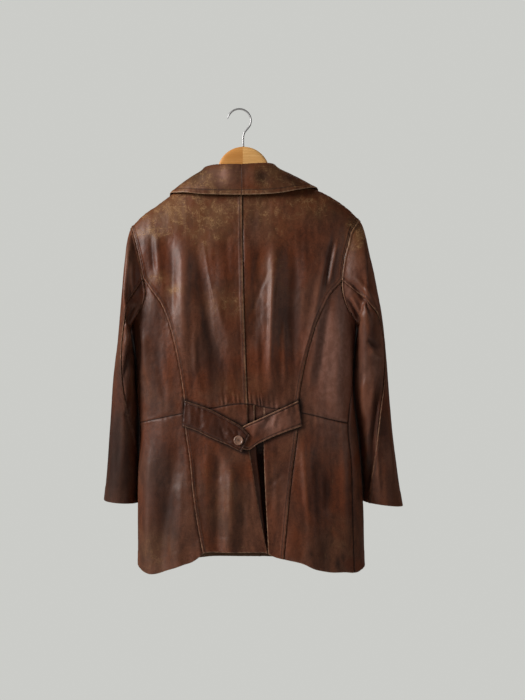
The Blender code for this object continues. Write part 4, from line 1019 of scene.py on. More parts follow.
PLEAT_TOP, PLEAT_END = 0.586, 0.8800
PLEAT_OPENS, PLEAT_RUN = 0.615, 0.085    # where the channel begins, and how soon it is deep
PLEAT_DEPTH = 0.036
PLEAT_GAP = 0.0016                # between the skirt's inner side and the strip
PLEAT_FLANGE, PLEAT_LIP = 0.022, 0.007   # from an edge to the strip's own edge and first bend
PLEAT_SLANT, PLEAT_BACK = 0.004, 0.009   # how far its two walls lean out at the deep end
INNER_FOLD_SHARE = 0.48           # how far across the opening the left inner fold has swung
INNER_FOLD_DEPTH = 0.005
BEHIND_PLEAT = np.array([0.04, 1.0, 0.0])


def pleat_strip():
    """The strip behind the pleat, bent through eight lines that run down the coat."""
    drop = np.linspace(PLEAT_TOP, PLEAT_END, 130)
    left = x_at(PLEAT_EDGE["left"], drop)
    right = x_at(PLEAT_EDGE["right"], drop)
    opened = ease((drop - PLEAT_OPENS) / PLEAT_RUN)
    behind = LEATHER + PLEAT_GAP
    deep = behind + PLEAT_DEPTH * opened
    fold = spread(left, right, INNER_FOLD_SHARE)
    shelf = behind + INNER_FOLD_DEPTH * opened
    lips = [(left - PLEAT_FLANGE, behind), (left - PLEAT_LIP, behind), (fold, shelf),
            (fold - PLEAT_SLANT, deep), ((fold + right) / 2, deep), (right + PLEAT_BACK, deep),
            (right + PLEAT_LIP, behind), (right + PLEAT_FLANGE, behind)]
    columns = []
    for x, recess in lips:
        point = body_point(angle_at(x, drop), drop)
        point[:, 1] += recess
        columns.append(point)
    bends = np.array(columns)
    strip = np.concatenate([np.linspace(a, b, 14)[:-1] for a, b in zip(bends, bends[1:])]
                           + [bends[-1:]])
    sew("pleat_strip", strip.transpose(1, 0, 2), BEHIND_PLEAT, ("", "", "", "turned"), FINE,
        lively=0.35)


pleat_strip()

# %% [markdown]
# ## The fronts
#
# The fronts face the wall. They are plain, cut in one from shoulder to hem, and the right one
# laps over the left, as the buttons hold it.

# %% Cut the fronts
PLAIN = 4.6 * MM                  # a wider step, for the plain fronts
FRONT_EDGE_DROP, FRONT_END_DROP = 0.195, 0.92    # near the top and the end of a front's edge


def lap_lift(points, half):
    """How far forward a front lies where the two fronts lap: the right one is on top."""
    centre = x_at(CENTRE_FRONT, -points[..., 2])
    lapped = ease(3.0 - (points[..., 0] - centre) * half.sign / LAP_EASE)
    return half.sign * LAP_LIFT * lapped


def front(half):
    """A front, from its own edge round to the side seam, which may lie on the back."""
    reach = -half.sign * LAP
    neck_x, neck_drop = half.neckline(np.radians(np.linspace(90, 172, 50)), front=True)
    lap_x = x_at(CENTRE_FRONT, FRONT_EDGE_DROP) + reach
    neck = places(np.append(neck_x, lap_x), np.append(neck_drop, neck_drop[-1]), 1)
    top = np.concatenate([half.shoulder_seam(1), neck[1:]])
    waist = crossing(half.side_seam, WAIST_SEAM, WAIST_START)
    hem_drop = crossing(half.side_seam, BACK_HEM, HEM_START)
    hole = half.hole(np.linspace(0, 1, 100), front=True)
    outer = np.concatenate([hole, seam_line(half.side_seam, half.armpit_drop, waist)[1:],
                            seam_line(half.side_seam, waist, hem_drop)[1:]])
    outer[0] = top[0]
    end_x = x_at(CENTRE_FRONT, FRONT_END_DROP) + reach
    edge_end = drop_at(FRONT_HEM, end_x)
    drop = np.linspace(neck_drop[-1], edge_end, 160)
    edge = places(x_at(CENTRE_FRONT, drop) + reach, drop, 1)
    for line in (top, edge):
        line[:, 0] = np.where(line[:, 0] * half.sign < 0,
                              line[:, 0] + half.sign * 2 * math.pi, line[:, 0])
    hem = level_line(outer[-1], edge[-1], FRONT_HEM)
    on_back = np.abs(hem[:, 0]) < math.pi / 2
    hem[on_back, 1] = settled(hem[on_back, 0], hem[on_back, 1], BACK_HEM)
    raw = fill(top, hem, outer, edge)
    raw[..., 1] += lap_lift(raw, half)
    sew("front_panel_" + half.name, raw, BODY_MIDDLE, ("sewn", "stitched", "sewn", "hem"),
        PLAIN)


for half in (LEFT, RIGHT):
    front(half)

# %% [markdown]
# ## The sleeves
#
# Each sleeve is a flattened tube of two pieces, a top and an under sleeve, set into the
# armhole. A loft through rings makes such a tube: the first ring is the armhole seam itself, so
# the sleeve grows out of the body, and the table gives the others.

# %% Loft the sleeves
SLEEVE = {"left": rows(
    "out_drop  out_x  in_drop  in_x  middle  reach  seam",
    (262, -223.5, 454, -219.5,  2.0, 56, 110),
    (310, -231.0, 468, -215.0,  7.0, 67, 100),
    (370, -236.5, 490, -210.0, 13.0, 73,  84),
    (440, -243.0, 520, -207.5, 18.0, 73,  72),
    (520, -252.0, 560, -205.8, 21.0, 68,  84),
    (600, -260.0, 612, -203.0, 22.5, 61, 112),
    (670, -265.0, 672, -202.0, 23.0, 55, 148),
    (735, -269.5, 737, -204.4, 23.0, 50, 168),
    (790, -274.5, 795, -205.8, 23.0, 46, 174)), "right": rows(
    "out_drop  out_x  in_drop  in_x  middle  reach  seam",
    (248, 254.5, 445, 239.5,  4.0, 56, 108),
    (300, 266.0, 460, 236.8,  9.0, 66,  92),
    (360, 279.0, 482, 234.0, 13.0, 71,  70),
    (430, 291.5, 515, 231.4, 18.0, 70,  34),
    (510, 300.0, 555, 229.8, 21.0, 65,  38),
    (600, 307.0, 612, 235.0, 22.5, 58,  70),
    (680, 315.0, 682, 243.8, 23.0, 52,  98),
    (745, 324.0, 744, 248.4, 23.0, 47, 122),
    (802, 333.0, 792, 251.8, 23.0, 43, 140))}
SLEEVE_STEP = 3.6 * MM
SLEEVE_HEAD_LIFT = 0.0025         # how high the sleeve's head stands beside the armhole seam
HEAD_END, HEAD_FADE = 0.060, 0.050    # it starts to fade this far above the armpit, this soon
SLEEVE_MIDDLE = 0.012
FRONT_SEAM_SHARE = 0.25

SLEEVE_CREASES = rows(
    "side  x_top  top  x_end  end  width  height  bow",
    (-1, -223, 260, -235, 480, 3.5, -4.0,  1),
    (-1, -212, 300, -208, 390, 5.0,  2.4,  2),
    (-1, -220, 260, -226, 430, 6.0,  3.0,  1),
    (-1, -202, 390, -226, 440, 4.5, -3.4,  2),
    (-1, -206, 430, -227, 490, 4.5,  3.0,  2),
    (-1, -208, 470, -228, 550, 4.5, -3.4,  3),
    (-1, -210, 510, -226, 590, 5.0,  2.6,  3),
    (-1, -211, 570, -224, 630, 4.5, -2.4,  2),
    (-1, -242, 480, -256, 750, 6.0,  2.2,  2),
    (-1, -233, 560, -242, 760, 8.0, -2.2,  2),
    (-1,  213, 342,  266, 425, 3.4, -5.0, -6),
    (-1,  225, 335,  276, 415, 5.0,  3.6, -6),
    (-1,  214, 378,  243, 432, 3.2, -5.6, -1),
    (-1,  222, 374,  250, 430, 4.0,  2.6, -2),
    (-1,  260, 480,  290, 500, 6.0,  3.6,  4),
    (-1,  252, 460,  286, 480, 5.0, -3.6,  3),
    (-1,  290, 510,  258, 790, 6.0, -8.0,  6),
    (-1,  252, 530,  254, 630, 7.0,  4.0,  2),
    (-1,  296, 580,  313, 770, 6.0,  3.6,  1),
    (-1,  276, 650,  284, 790, 4.0,  2.4,  1),
    ( 1, -230, 300, -240, 560, 6.0,  2.2,  2),
    ( 1, -220, 430, -248, 500, 6.0, -2.6,  3),
    ( 1, -235, 550, -245, 760, 7.0,  1.8,  2),
    ( 1,  265, 300,  280, 560, 6.0,  2.2,  2),
    ( 1,  250, 430,  290, 500, 6.0, -2.6,  3),
    ( 1,  280, 550,  295, 760, 7.0,  1.8,  2))


def ring_turn(share):
    """The angle round the armhole of a place that far down it."""
    return np.degrees(np.arccos(1 - 2 * share))


def armhole_ring(half, turns):
    """The armhole seam as a ring: 0 at the shoulder, 90 degrees behind, 180 at the armpit."""
    share = (1 - np.cos(np.radians(turns))) / 2
    ring = np.zeros((len(turns), 3))
    behind = (turns >= 0) & (turns <= 180)
    for chosen, in_front in ((behind, False), (~behind, True)):
        cut = half.hole(share[chosen], in_front)
        ring[chosen] = body_point(cut[:, 0], cut[:, 1])
    return ring


def sleeve_ring(row, turns):
    """A flattened ring from the sleeve's outer edge to its inner edge and round again."""
    turns = np.radians(turns)
    out = np.array([row["out_x"], row["middle"], -row["out_drop"]])
    inner = np.array([row["in_x"], row["middle"], -row["in_drop"]])
    ring = np.cos(turns)[:, None] * (out - inner) / 2 + (out + inner) / 2
    ring[:, 1] -= row["reach"] * np.sin(turns)
    return ring


def sleeve(half, upper):
    """The top or the under sleeve, from the armhole to the cuff."""
    front_turn = -ring_turn(FRONT_SEAM_SHARE)
    table, shares = SLEEVE[half.name], np.linspace(0, 1, 120)

    def turns(seam):
        ends = (front_turn, seam) if upper else (seam, 360 + front_turn)
        return spread(*ends, shares)

    hole = armhole_ring(half, turns(ring_turn(half.junction)))
    hole[:, 0] += half.sign * SEAM_GAP
    rings = [hole]
    for out_drop in np.linspace(table["out_drop"][0], table["out_drop"][-1], 12):
        row = {key: along(table, key, "out_drop", out_drop) for key in table}
        rings.append(sleeve_ring(row, turns(row["seam"])))
    low = ease((-hole[:, 2] - half.armpit_drop + HEAD_END) / HEAD_FADE)[:, None]
    middle = np.array([0.0, 0.0, -(half.shoulder[1] + half.armpit_drop) / 2])
    way = middle - hole
    way[:, 0] = 0.0
    head = (rings[0] + rings[1]) / 2 - unit(way) * (1 - low) * SLEEVE_HEAD_LIFT
    rings.insert(1, head)
    raw = smooth_rows(np.array(rings), 240)
    middle_x = np.mean([ring[:, 0].mean() for ring in rings[3:]])
    return raw, np.array([middle_x, SLEEVE_MIDDLE, 0.0])


for half in (LEFT, RIGHT):
    for label, upper in (("top_sleeve_piece_", True), ("under_sleeve_piece_", False)):
        raw, inside = sleeve(half, upper)
        edges = ("sewn", "over", "rolled", "hem") if upper else ("under", "sewn", "rolled", "hem")
        sew(label + half.name, raw, inside, edges, SLEEVE_STEP, table=SLEEVE_CREASES)

# %% [markdown]
# ## The collar
#
# A collar stands up from the neckline, rolls over a soft fold and falls on the shoulders. Each
# half is lofted through a profile: stand, fold, leaf. The free edge is two layers turned and
# topstitched, so it is thicker there and rubbed pale.

# %% Shape the collar
COLLAR = {"left": rows(
    "neck  fold_x  fold_y  fold_drop  edge_x  edge_y  edge_drop",
    (  0,   4.5, -33.0, 113.8,    6.0, -44.5, 176.5),
    ( 20, -24.0, -32.5, 113.8,  -40.0, -45.0, 176.0),
    ( 42, -45.0, -29.0, 114.2,  -76.0, -42.0, 174.5),
    ( 62, -61.0, -21.0, 115.5, -108.0, -35.0, 170.5),
    ( 80, -70.0,  -9.0, 118.0, -132.0, -18.0, 169.0),
    ( 90, -71.5,  -1.5, 120.8, -138.5,  -6.0, 168.0),
    ( 98, -71.0,   5.5, 124.0, -140.5,   6.0, 171.5),
    (116, -64.0,  17.0, 134.5, -137.0,  25.0, 187.0),
    (135, -50.0,  26.0, 150.0, -124.0,  42.0, 212.0),
    (155, -33.0,  32.0, 166.0, -106.0,  53.0, 238.0),
    (172, -16.0,  36.0, 180.0,  -86.0,  59.0, 262.0)), "right": rows(
    "neck  fold_x  fold_y  fold_drop  edge_x  edge_y  edge_drop",
    (  0,  5.1, -33.0, 113.8,   6.6, -44.5, 176.5),
    ( 20, 31.0, -32.5, 112.0,  48.0, -45.0, 175.5),
    ( 42, 52.0, -29.0, 110.8,  86.0, -42.0, 172.0),
    ( 62, 67.0, -21.0, 111.0, 120.0, -35.0, 165.0),
    ( 80, 74.0,  -9.0, 114.0, 148.0, -18.0, 159.0),
    ( 90, 75.0,  -1.5, 117.2, 157.5,  -6.0, 158.2),
    ( 98, 74.2,   5.5, 121.2, 160.5,   6.0, 161.5),
    (116, 68.0,  17.0, 132.0, 156.0,  25.0, 176.0),
    (135, 56.0,  26.0, 148.0, 142.0,  42.0, 204.0),
    (155, 40.0,  32.0, 164.0, 124.0,  53.0, 232.0),
    (172, 24.0,  36.0, 178.0, 104.0,  59.0, 257.0))}
COLLAR_STEP = 2.6 * MM
COLLAR_ROLL = 0.0032              # half the width of the fold between stand and leaf
COLLAR_CROWN = 0.0045             # how far the leaf arches off the shoulder
COLLAR_LEATHER = 2.2 * MM
COLLAR_MIDDLE_X = 0.0015
COLLAR_CREASES = rows(
    "side  x_top  top  x_end  end  width  height  bow",
    (-1, -32, 149,  -6, 151,  2.2, -4.0, 1),
    (-1,   8, 116,  10, 174,  6.0, -3.0, 1),
    (-1, -20, 110, -18, 165, 12.0,  9.0, 2),
    (-1,  30, 115,  33, 165,  9.0,  3.0, 1),
    (-1, -70, 135, -95, 170,  7.0, -2.8, 2),
    (-1,  50, 120,  56, 165,  8.0, -3.0, 3),
    (-1,  90, 130, 115, 160,  8.0,  2.8, 2))


def towards_neck(points):
    """Level, from the neckline to the middle of the neck opening."""
    way = np.array([(NECK["left"][0] + NECK["right"][0]) / 2, 0.0, 0.0]) - points
    way[..., 2] = 0.0
    return unit(way)


def collar(half):
    """A collar half, from the centre back round the neck, through stand, fold and leaf."""
    table, turns = COLLAR[half.name], np.linspace(0, 172, 130)
    columns = []
    for turn in turns:
        row = {key: along(table, key, "neck", turn) for key in table}
        in_front = turn > 90
        neck_x, neck_drop = half.neckline(np.radians(turn), in_front)
        neck = body_point(angle_at(neck_x, neck_drop, 1 if in_front else -1), neck_drop)
        if in_front:
            neck[1] += lap_lift(neck, half)
        seat = neck + towards_neck(neck) * LEATHER + np.array([0, 0, SEAM_GAP])
        fold = np.array([row["fold_x"], row["fold_y"], -row["fold_drop"]])
        edge = np.array([row["edge_x"], row["edge_y"], -row["edge_drop"]])
        out_way = unit(np.array([fold[0] - COLLAR_MIDDLE_X, fold[1] * 2.0, 0.0]))
        under, over = fold - out_way * COLLAR_ROLL, fold + out_way * COLLAR_ROLL
        under[2] -= COLLAR_ROLL
        over[2] -= COLLAR_ROLL
        line = [seat, (seat + under) / 2, under, fold, over]
        for share in (0.33, 0.67, 1.0):
            lift = COLLAR_CROWN * math.sin(math.pi * share)
            line.append(over + (edge - over) * share + out_way * lift)
        columns.append(line)
    raw = smooth_rows(np.array(columns).transpose(1, 0, 2), 120)
    raw[:, 0, 0] += half.sign * SEAM_GAP / 2
    return raw


for half in (LEFT, RIGHT):
    sew("collar_piece_" + half.name, collar(half), BODY_MIDDLE,
        ("", "stitched", "", "collar"), COLLAR_STEP, thick=COLLAR_LEATHER,
        table=COLLAR_CREASES, lively=0.35)

# %% [markdown]
# ## The half belt
#
# Two tabs are caught in the princess seams and meet low over the pleat, where the left one
# buttons over the right. They draw the waist in a little and carry the coat's only trim.

# %% Lay the half belt
BELT_STEP = 2.6 * MM
BELT_LEATHER = 2.4 * MM
BELT_LIFT = 0.0018                # the tabs stand this much further off than the plain solids
BELT_CREASES = rows(
    "side  x_top  top  x_end  end  width  height  bow",
    (-1, -20, 636,  -6, 650, 2.0, -1.2, 1),
    (-1, -26, 647, -10, 656, 2.0,  1.2, 1),
    (-1, -27, 660, -11, 664, 2.0, -1.2, 1),
    (-1,  -4, 640,   1, 654, 1.8, -1.0, 0),
    (-1, -35, 630, -24, 664, 3.0, -1.0, 2),
    (-1,  64, 613,  48, 644, 4.0, -1.6, 1),
    (-1,  77, 606,  69, 642, 4.5,  1.6, 1),
    (-1,  42, 623,  30, 660, 6.0,  1.2, 1),
    (-1, -78, 600, -72, 642, 5.0, -1.2, 1),
    (-1, -95, 595, -93, 638, 4.0,  1.0, 0))


def way_out(angle, drop):
    """The way straight off the body's face at girth angles and drops."""
    step_angle, step_drop = 0.004, 0.0006
    around = body_point(angle + step_angle, drop) - body_point(angle - step_angle, drop)
    down = body_point(angle, drop + step_drop) - body_point(angle, drop)
    return -unit(np.cross(around, down))


def lie_above(x, drop, lift):
    """Points over the back at given x and drop, lifted off its face, and the way they face."""
    angle = angle_at(x, drop)
    out = way_out(angle, drop)
    return body_point(angle, drop) + out * np.asarray(lift)[..., None], out


def belt_tab(name, edges):
    """One tab of the half belt, laid over the back."""
    table = TABS[name]
    at = np.linspace(table["upper_x"][0], table["upper_x"][-1], 90)
    column = {key: along(table, key, "upper_x", at) for key in table}
    shares = np.linspace(0, 1, 40)[:, None]
    x = spread(column["upper_x"], column["lower_x"], shares)
    drop = spread(column["upper"], column["lower"], shares)
    lift = np.broadcast_to(column["lift"], x.shape) + BELT_LIFT
    raw, _ = lie_above(x, drop, lift)
    sew("belt_tab_" + name, raw, BODY_MIDDLE, edges, BELT_STEP, thick=BELT_LEATHER,
        table=BELT_CREASES, lively=1.3)


belt_tab("left", ("sewn", "stitched", "stitched", "stitched"))
belt_tab("right", ("stitched", "sewn", "stitched", "stitched"))

# %% [markdown]
# ## Buttons
#
# A coat button is turned on a lathe from horn or resin: a flat back, a round edge, a raised rim
# and a dished middle with four sewing holes. Spinning a profile makes the body. The holes are
# drilled with a Boolean modifier, and a button on each spot is a copy of that one mesh.

# %% Turn a button and drill its holes
BUTTON_RADIUS, BUTTON_THICKNESS = 0.0095, 0.0030
BUTTON_PROFILE = np.array([       # shares of the radius and of the thickness
    (0.00, 0.00), (0.80, 0.00), (0.94, 0.12), (1.00, 0.40), (0.99, 0.72), (0.94, 0.94),
    (0.87, 1.00), (0.79, 0.97), (0.73, 0.84), (0.66, 0.70), (0.50, 0.60), (0.25, 0.56),
    (0.00, 0.55)])
HOLE_RADIUS, HOLE_PITCH = 0.00085, 0.0021
DRILL_FROM, DRILL_TO = -0.004, 0.006
THREAD_BAR = 0.00045              # half the thickness of the threads between two holes
THREAD_REACH, THREAD_HEIGHT = 0.75, 0.58    # shares of the pitch and of the thickness


def lathe(name, radii, heights, segments):
    """A closed turned form about the Z axis; its first and last radius are 0."""
    turns = np.linspace(0, 2 * math.pi, segments, endpoint=False)
    points = [(0.0, 0.0, heights[0])]
    for radius, height in zip(radii[1:-1], heights[1:-1]):
        points += [(radius * math.cos(t), radius * math.sin(t), height) for t in turns]
    points.append((0.0, 0.0, heights[-1]))
    faces = []
    for k in range(segments):
        after, last = (k + 1) % segments, len(points) - 1
        faces.append((0, 1 + after, 1 + k))
        for ring in range(len(radii) - 3):
            a, b = 1 + ring * segments + k, 1 + ring * segments + after
            faces.append((a, b, b + segments, a + segments))
        faces.append((last, last - segments + k, last - segments + after))
    mesh = bpy.data.meshes.new(name)
    mesh.from_pydata(points, [], faces)
    mesh.shade_smooth()
    return add_object(name, mesh)


def as_plain_mesh(thing):
    """The object's mesh with its modifiers' work done, and the modifiers gone."""
    bpy.context.view_layer.update()
    seen = thing.evaluated_get(bpy.context.evaluated_depsgraph_get())
    mesh = bpy.data.meshes.new_from_object(seen)
    thing.modifiers.clear()
    thing.data = mesh
    return thing


def drilled_button():
    """A button about the origin, with its four holes cut through."""
    blank = lathe("button_blank", BUTTON_PROFILE[:, 0] * BUTTON_RADIUS,
                  BUTTON_PROFILE[:, 1] * BUTTON_THICKNESS, 48)
    drills = []
    for x, y in ((-1, -1), (-1, 1), (1, -1), (1, 1)):
        drill = lathe("drill", (0, HOLE_RADIUS, HOLE_RADIUS, 0),
                      (DRILL_FROM, DRILL_FROM, DRILL_TO, DRILL_TO), 12)
        drill.data.transform(Matrix.Translation((x * HOLE_PITCH / 2, y * HOLE_PITCH / 2, 0)))
        cut = blank.modifiers.new("hole", "BOOLEAN")
        cut.operation, cut.object, cut.solver = "DIFFERENCE", drill, "EXACT"
        drills.append(drill)
    as_plain_mesh(blank)
    for drill in drills:
        bpy.data.objects.remove(drill, do_unlink=True)
    return blank


def thread_bars(name):
    """Two pairs of threads between the holes, as short rounded bars."""
    bars = bmesh.new()
    for y in (-HOLE_PITCH / 2, HOLE_PITCH / 2):
        made = bmesh.ops.create_uvsphere(bars, u_segments=8, v_segments=6, radius=1.0)
        for vertex in made["verts"]:
            x, side, z = vertex.co
            vertex.co = (z * HOLE_PITCH * THREAD_REACH, y + side * THREAD_BAR,
                         THREAD_HEIGHT * BUTTON_THICKNESS + x * THREAD_BAR)
    mesh = bpy.data.meshes.new(name)
    bars.to_mesh(mesh)
    bars.free()
    mesh.shade_smooth()
    return mesh


def turned_to(x_way, y_way, z_way, place):
    """The matrix that turns the three axes to these ways and sets the origin at a place."""
    return Matrix([(x_way[k], y_way[k], z_way[k], place[k]) for k in range(3)]
                  + [(0, 0, 0, 1)])


def put_copy(mesh, place, facing, name):
    """Set a copy of a mesh made about the origin at a place, facing a way."""
    side_way = unit(np.cross(facing, np.array([0.0, 0.0, 1.0])))
    copy = mesh.copy()
    copy.transform(turned_to(np.cross(side_way, facing), -side_way, facing, place))
    pieces[name] = add_object(name, copy)


# %% Sew the buttons on
BELT_BUTTON_AT = (0.0005, 0.6628)
BELT_BUTTON_GAP, FRONT_BUTTON_GAP = 0.0004, 0.0008
FRONT_BUTTON_DROPS = (0.262, 0.372, 0.482, 0.592)


def belt_button_place(x, drop):
    """A place on the belt's left tab, and the way it faces."""
    x, drop = np.array([x]), np.array([drop])
    lift = along(TABS["left"], "lift", "upper_x", x) + BELT_LIFT + BELT_BUTTON_GAP
    place, out = lie_above(x, drop, lift)
    return place[0], out[0]


def front_button_place(drop):
    """A place on the creased skin of the fronts' middle line, and the way it faces."""
    drop = np.array([drop])
    angle = angle_at(x_at(CENTRE_FRONT, drop), drop, 1)
    out, place = way_out(angle, drop), body_point(angle, drop)
    lift = skin_height(place, out) + (LAP_LIFT + FRONT_BUTTON_GAP)
    return (place + out * lift)[0], out[0]


blank = drilled_button()
bars = thread_bars("button threads")
spots = {"belt_button_turned": belt_button_place(*BELT_BUTTON_AT)}
for number, drop in enumerate(FRONT_BUTTON_DROPS, start=1):
    spots[f"front_button_turned_{number}"] = front_button_place(drop)
for name, (place, facing) in spots.items():
    put_copy(blank.data, place, facing, name)
    put_copy(bars, place, facing, name.replace("turned", "thread"))
bpy.data.objects.remove(blank, do_unlink=True)
print("buttons:", len(spots), "of", len(pieces["belt_button_turned"].data.polygons), "faces")

# %% [markdown]
# ## Topstitching
#
# A line of stitches is one small shape repeated along a path, which is what Geometry Nodes are
# for. The paths are the stitch lines kept from every lapped and turned edge. The tree spaces
# points along them, sets a rounded stitch on each, turned along the seam and a little uneven,
# and makes them all real.

# %% Build the stitch tree
STITCHES = {"Spacing": 0.0031, "Stitch length": 0.0024, "Thread radius": 0.00034, "Seed": 5}
STITCH_UNEVEN = (0.8, 1.15)       # the smallest and the largest stitch, beside an even one


def stitch_tree(surface):
    """The tree that lays stitches along paths, and the identifiers of its inputs."""
    tree = bpy.data.node_groups.new("stitches along a path", "GeometryNodeTree")
    tree.interface.new_socket("Paths", in_out="INPUT", socket_type="NodeSocketGeometry")
    tree.interface.new_socket("Stitches", in_out="OUTPUT", socket_type="NodeSocketGeometry")
    sockets = {}
    for label, value in STITCHES.items():
        kind = "NodeSocketInt" if isinstance(value, int) else "NodeSocketFloat"
        socket = tree.interface.new_socket(label, in_out="INPUT", socket_type=kind)
        socket.default_value = value
        sockets[label] = socket.identifier
    add, link = tree.nodes.new, tree.links.new
    given, made = add("NodeGroupInput"), add("NodeGroupOutput")
    curve, dots = add("GeometryNodeMeshToCurve"), add("GeometryNodeCurveToPoints")
    dots.mode = "LENGTH"
    ball, shape = add("GeometryNodeMeshUVSphere"), add("GeometryNodeTransform")
    ball.inputs["Segments"].default_value, ball.inputs["Rings"].default_value = 6, 5
    ball.inputs["Radius"].default_value = 1.0
    half, size = add("ShaderNodeMath"), add("ShaderNodeCombineXYZ")
    half.operation, half.inputs[1].default_value = "MULTIPLY", 0.5
    turn, chance = add("FunctionNodeAlignRotationToVector"), add("FunctionNodeRandomValue")
    turn.axis = "Z"
    chance.data_type = "FLOAT"
    chance.inputs[2].default_value, chance.inputs[3].default_value = STITCH_UNEVEN
    lay, real = add("GeometryNodeInstanceOnPoints"), add("GeometryNodeRealizeInstances")
    smooth, paint = add("GeometryNodeSetShadeSmooth"), add("GeometryNodeSetMaterial")
    paint.inputs["Material"].default_value = surface
    link(given.outputs["Paths"], curve.inputs["Mesh"])
    link(curve.outputs["Curve"], dots.inputs["Curve"])
    link(given.outputs["Spacing"], dots.inputs["Length"])
    link(given.outputs["Stitch length"], half.inputs[0])
    link(given.outputs["Thread radius"], size.inputs["X"])
    link(given.outputs["Thread radius"], size.inputs["Y"])
    link(half.outputs[0], size.inputs["Z"])
    link(ball.outputs["Mesh"], shape.inputs["Geometry"])
    link(size.outputs[0], shape.inputs["Scale"])
    link(given.outputs["Seed"], chance.inputs["Seed"])
    link(dots.outputs["Tangent"], turn.inputs["Vector"])
    link(dots.outputs["Points"], lay.inputs["Points"])
    link(shape.outputs["Geometry"], lay.inputs["Instance"])
    link(turn.outputs["Rotation"], lay.inputs["Rotation"])
    link(chance.outputs[1], lay.inputs["Scale"])
    link(lay.outputs["Instances"], real.inputs["Geometry"])
    link(real.outputs["Geometry"], smooth.inputs["Geometry"])
    link(smooth.outputs[0], paint.inputs["Geometry"])
    link(paint.outputs["Geometry"], made.inputs["Stitches"])
    return tree, sockets


def sew_stitches(name, lines, surface):
    """One mesh of stitches along every line of points."""
    points, edges = [], []
    for line in lines:
        edges += [(len(points) + k, len(points) + k + 1) for k in range(len(line) - 1)]
        points += line.tolist()
    mesh = bpy.data.meshes.new(name)
    mesh.from_pydata(points, edges, [])
    pieces[name] = add_object(name, mesh)
    maker = pieces[name].modifiers.new("stitches", "NODES")
    maker.node_group, sockets = stitch_tree(surface)
    for label, value in STITCHES.items():
        maker[sockets[label]] = value
    stitched = as_plain_mesh(pieces[name]).data
    stitched.materials.clear()
    stitched.materials.append(surface)
    stitched.polygons.foreach_set("material_index", [0] * len(stitched.polygons))
    print(name, "has", len(stitched.polygons), "faces")


# %% [markdown]
# ## The hanger
#
# The body is cut from a plank and rounded over: a high round crown between two falling arms.
# Rounded sections are set along it, each as tall as the outline there. The hook is a bent wire,
# a tube swept along its path and closed at both ends.

# %% Cut the wooden body
WOOD_THICKNESS = 0.013
WOOD_SEAT = LEATHER + 0.0026
WOOD_CROWN_RADIUS = 0.053
WOOD_CROWN = (0.0091, 0.0745)     # its x and its drop
WOOD_NECK_REACH, WOOD_NECK_DROP = 0.085, 0.137    # beside the crown the arms start this low
WOOD_ENDS = (-0.196, 0.214)
WOOD_TIP = 0.010                  # the length in which an arm's end is rounded
WOOD_MIDDLE_REACH, WOOD_MIDDLE_DROP = 0.06, 0.140    # the arms' top if the crown were cut off
WOOD_TALL, WOOD_TALLER = 0.020, 0.016    # an arm's height, and what the middle has more
WOOD_ARM = 0.2
WOOD_SQUARE, WOOD_ROUND = 0.45, 0.9      # the section: flat sides, round top and bottom
WOOD_TIP_THIN = 0.6               # an arm's very end beside its full thickness
PAST_TIP, OFF_CROWN = 0.012, 0.004       # where the even sections of an arm begin and stop


def wood_top(x):
    """Drop of the hanger's upper edge: a round crown, then arms under the shoulders."""
    seams = np.concatenate([spread(SHOULDER["left"][0], NECK["left"][0], np.linspace(0, 1, 5)),
                            spread(NECK["right"][0], SHOULDER["right"][0],
                                   np.linspace(0, 1, 5))])
    arms = np.interp(x, seams, drop_at(SHOULDER_LINE, seams)) + WOOD_SEAT
    beside = np.abs(x - WOOD_CROWN[0]) < WOOD_NECK_REACH
    arms = np.where(beside, np.maximum(arms, WOOD_NECK_DROP), arms)
    inside = np.clip(WOOD_CROWN_RADIUS ** 2 - (x - WOOD_CROWN[0]) ** 2, 0.0, None)
    crown = WOOD_CROWN[1] + WOOD_CROWN_RADIUS - np.sqrt(inside)
    return np.where(inside > 0, np.minimum(arms, crown), arms)


def tube(name, rings):
    """A closed skin through rings of points, capped at both ends."""
    count, around = rings.shape[:2]
    number = np.arange(count * around).reshape(count, around)
    after = np.roll(number, -1, axis=1)
    faces = np.stack([number[:-1], after[:-1], after[1:], number[1:]], axis=-1).reshape(-1, 4)
    mesh = bpy.data.meshes.new(name)
    caps = [number[0].tolist(), number[-1][::-1].tolist()]
    mesh.from_pydata(rings.reshape(-1, 3).tolist(), [], faces.tolist() + caps)
    face_outwards(mesh)
    mesh.shade_smooth()
    pieces[name] = add_object(name, mesh)
    print(name, "has", len(mesh.polygons), "faces")


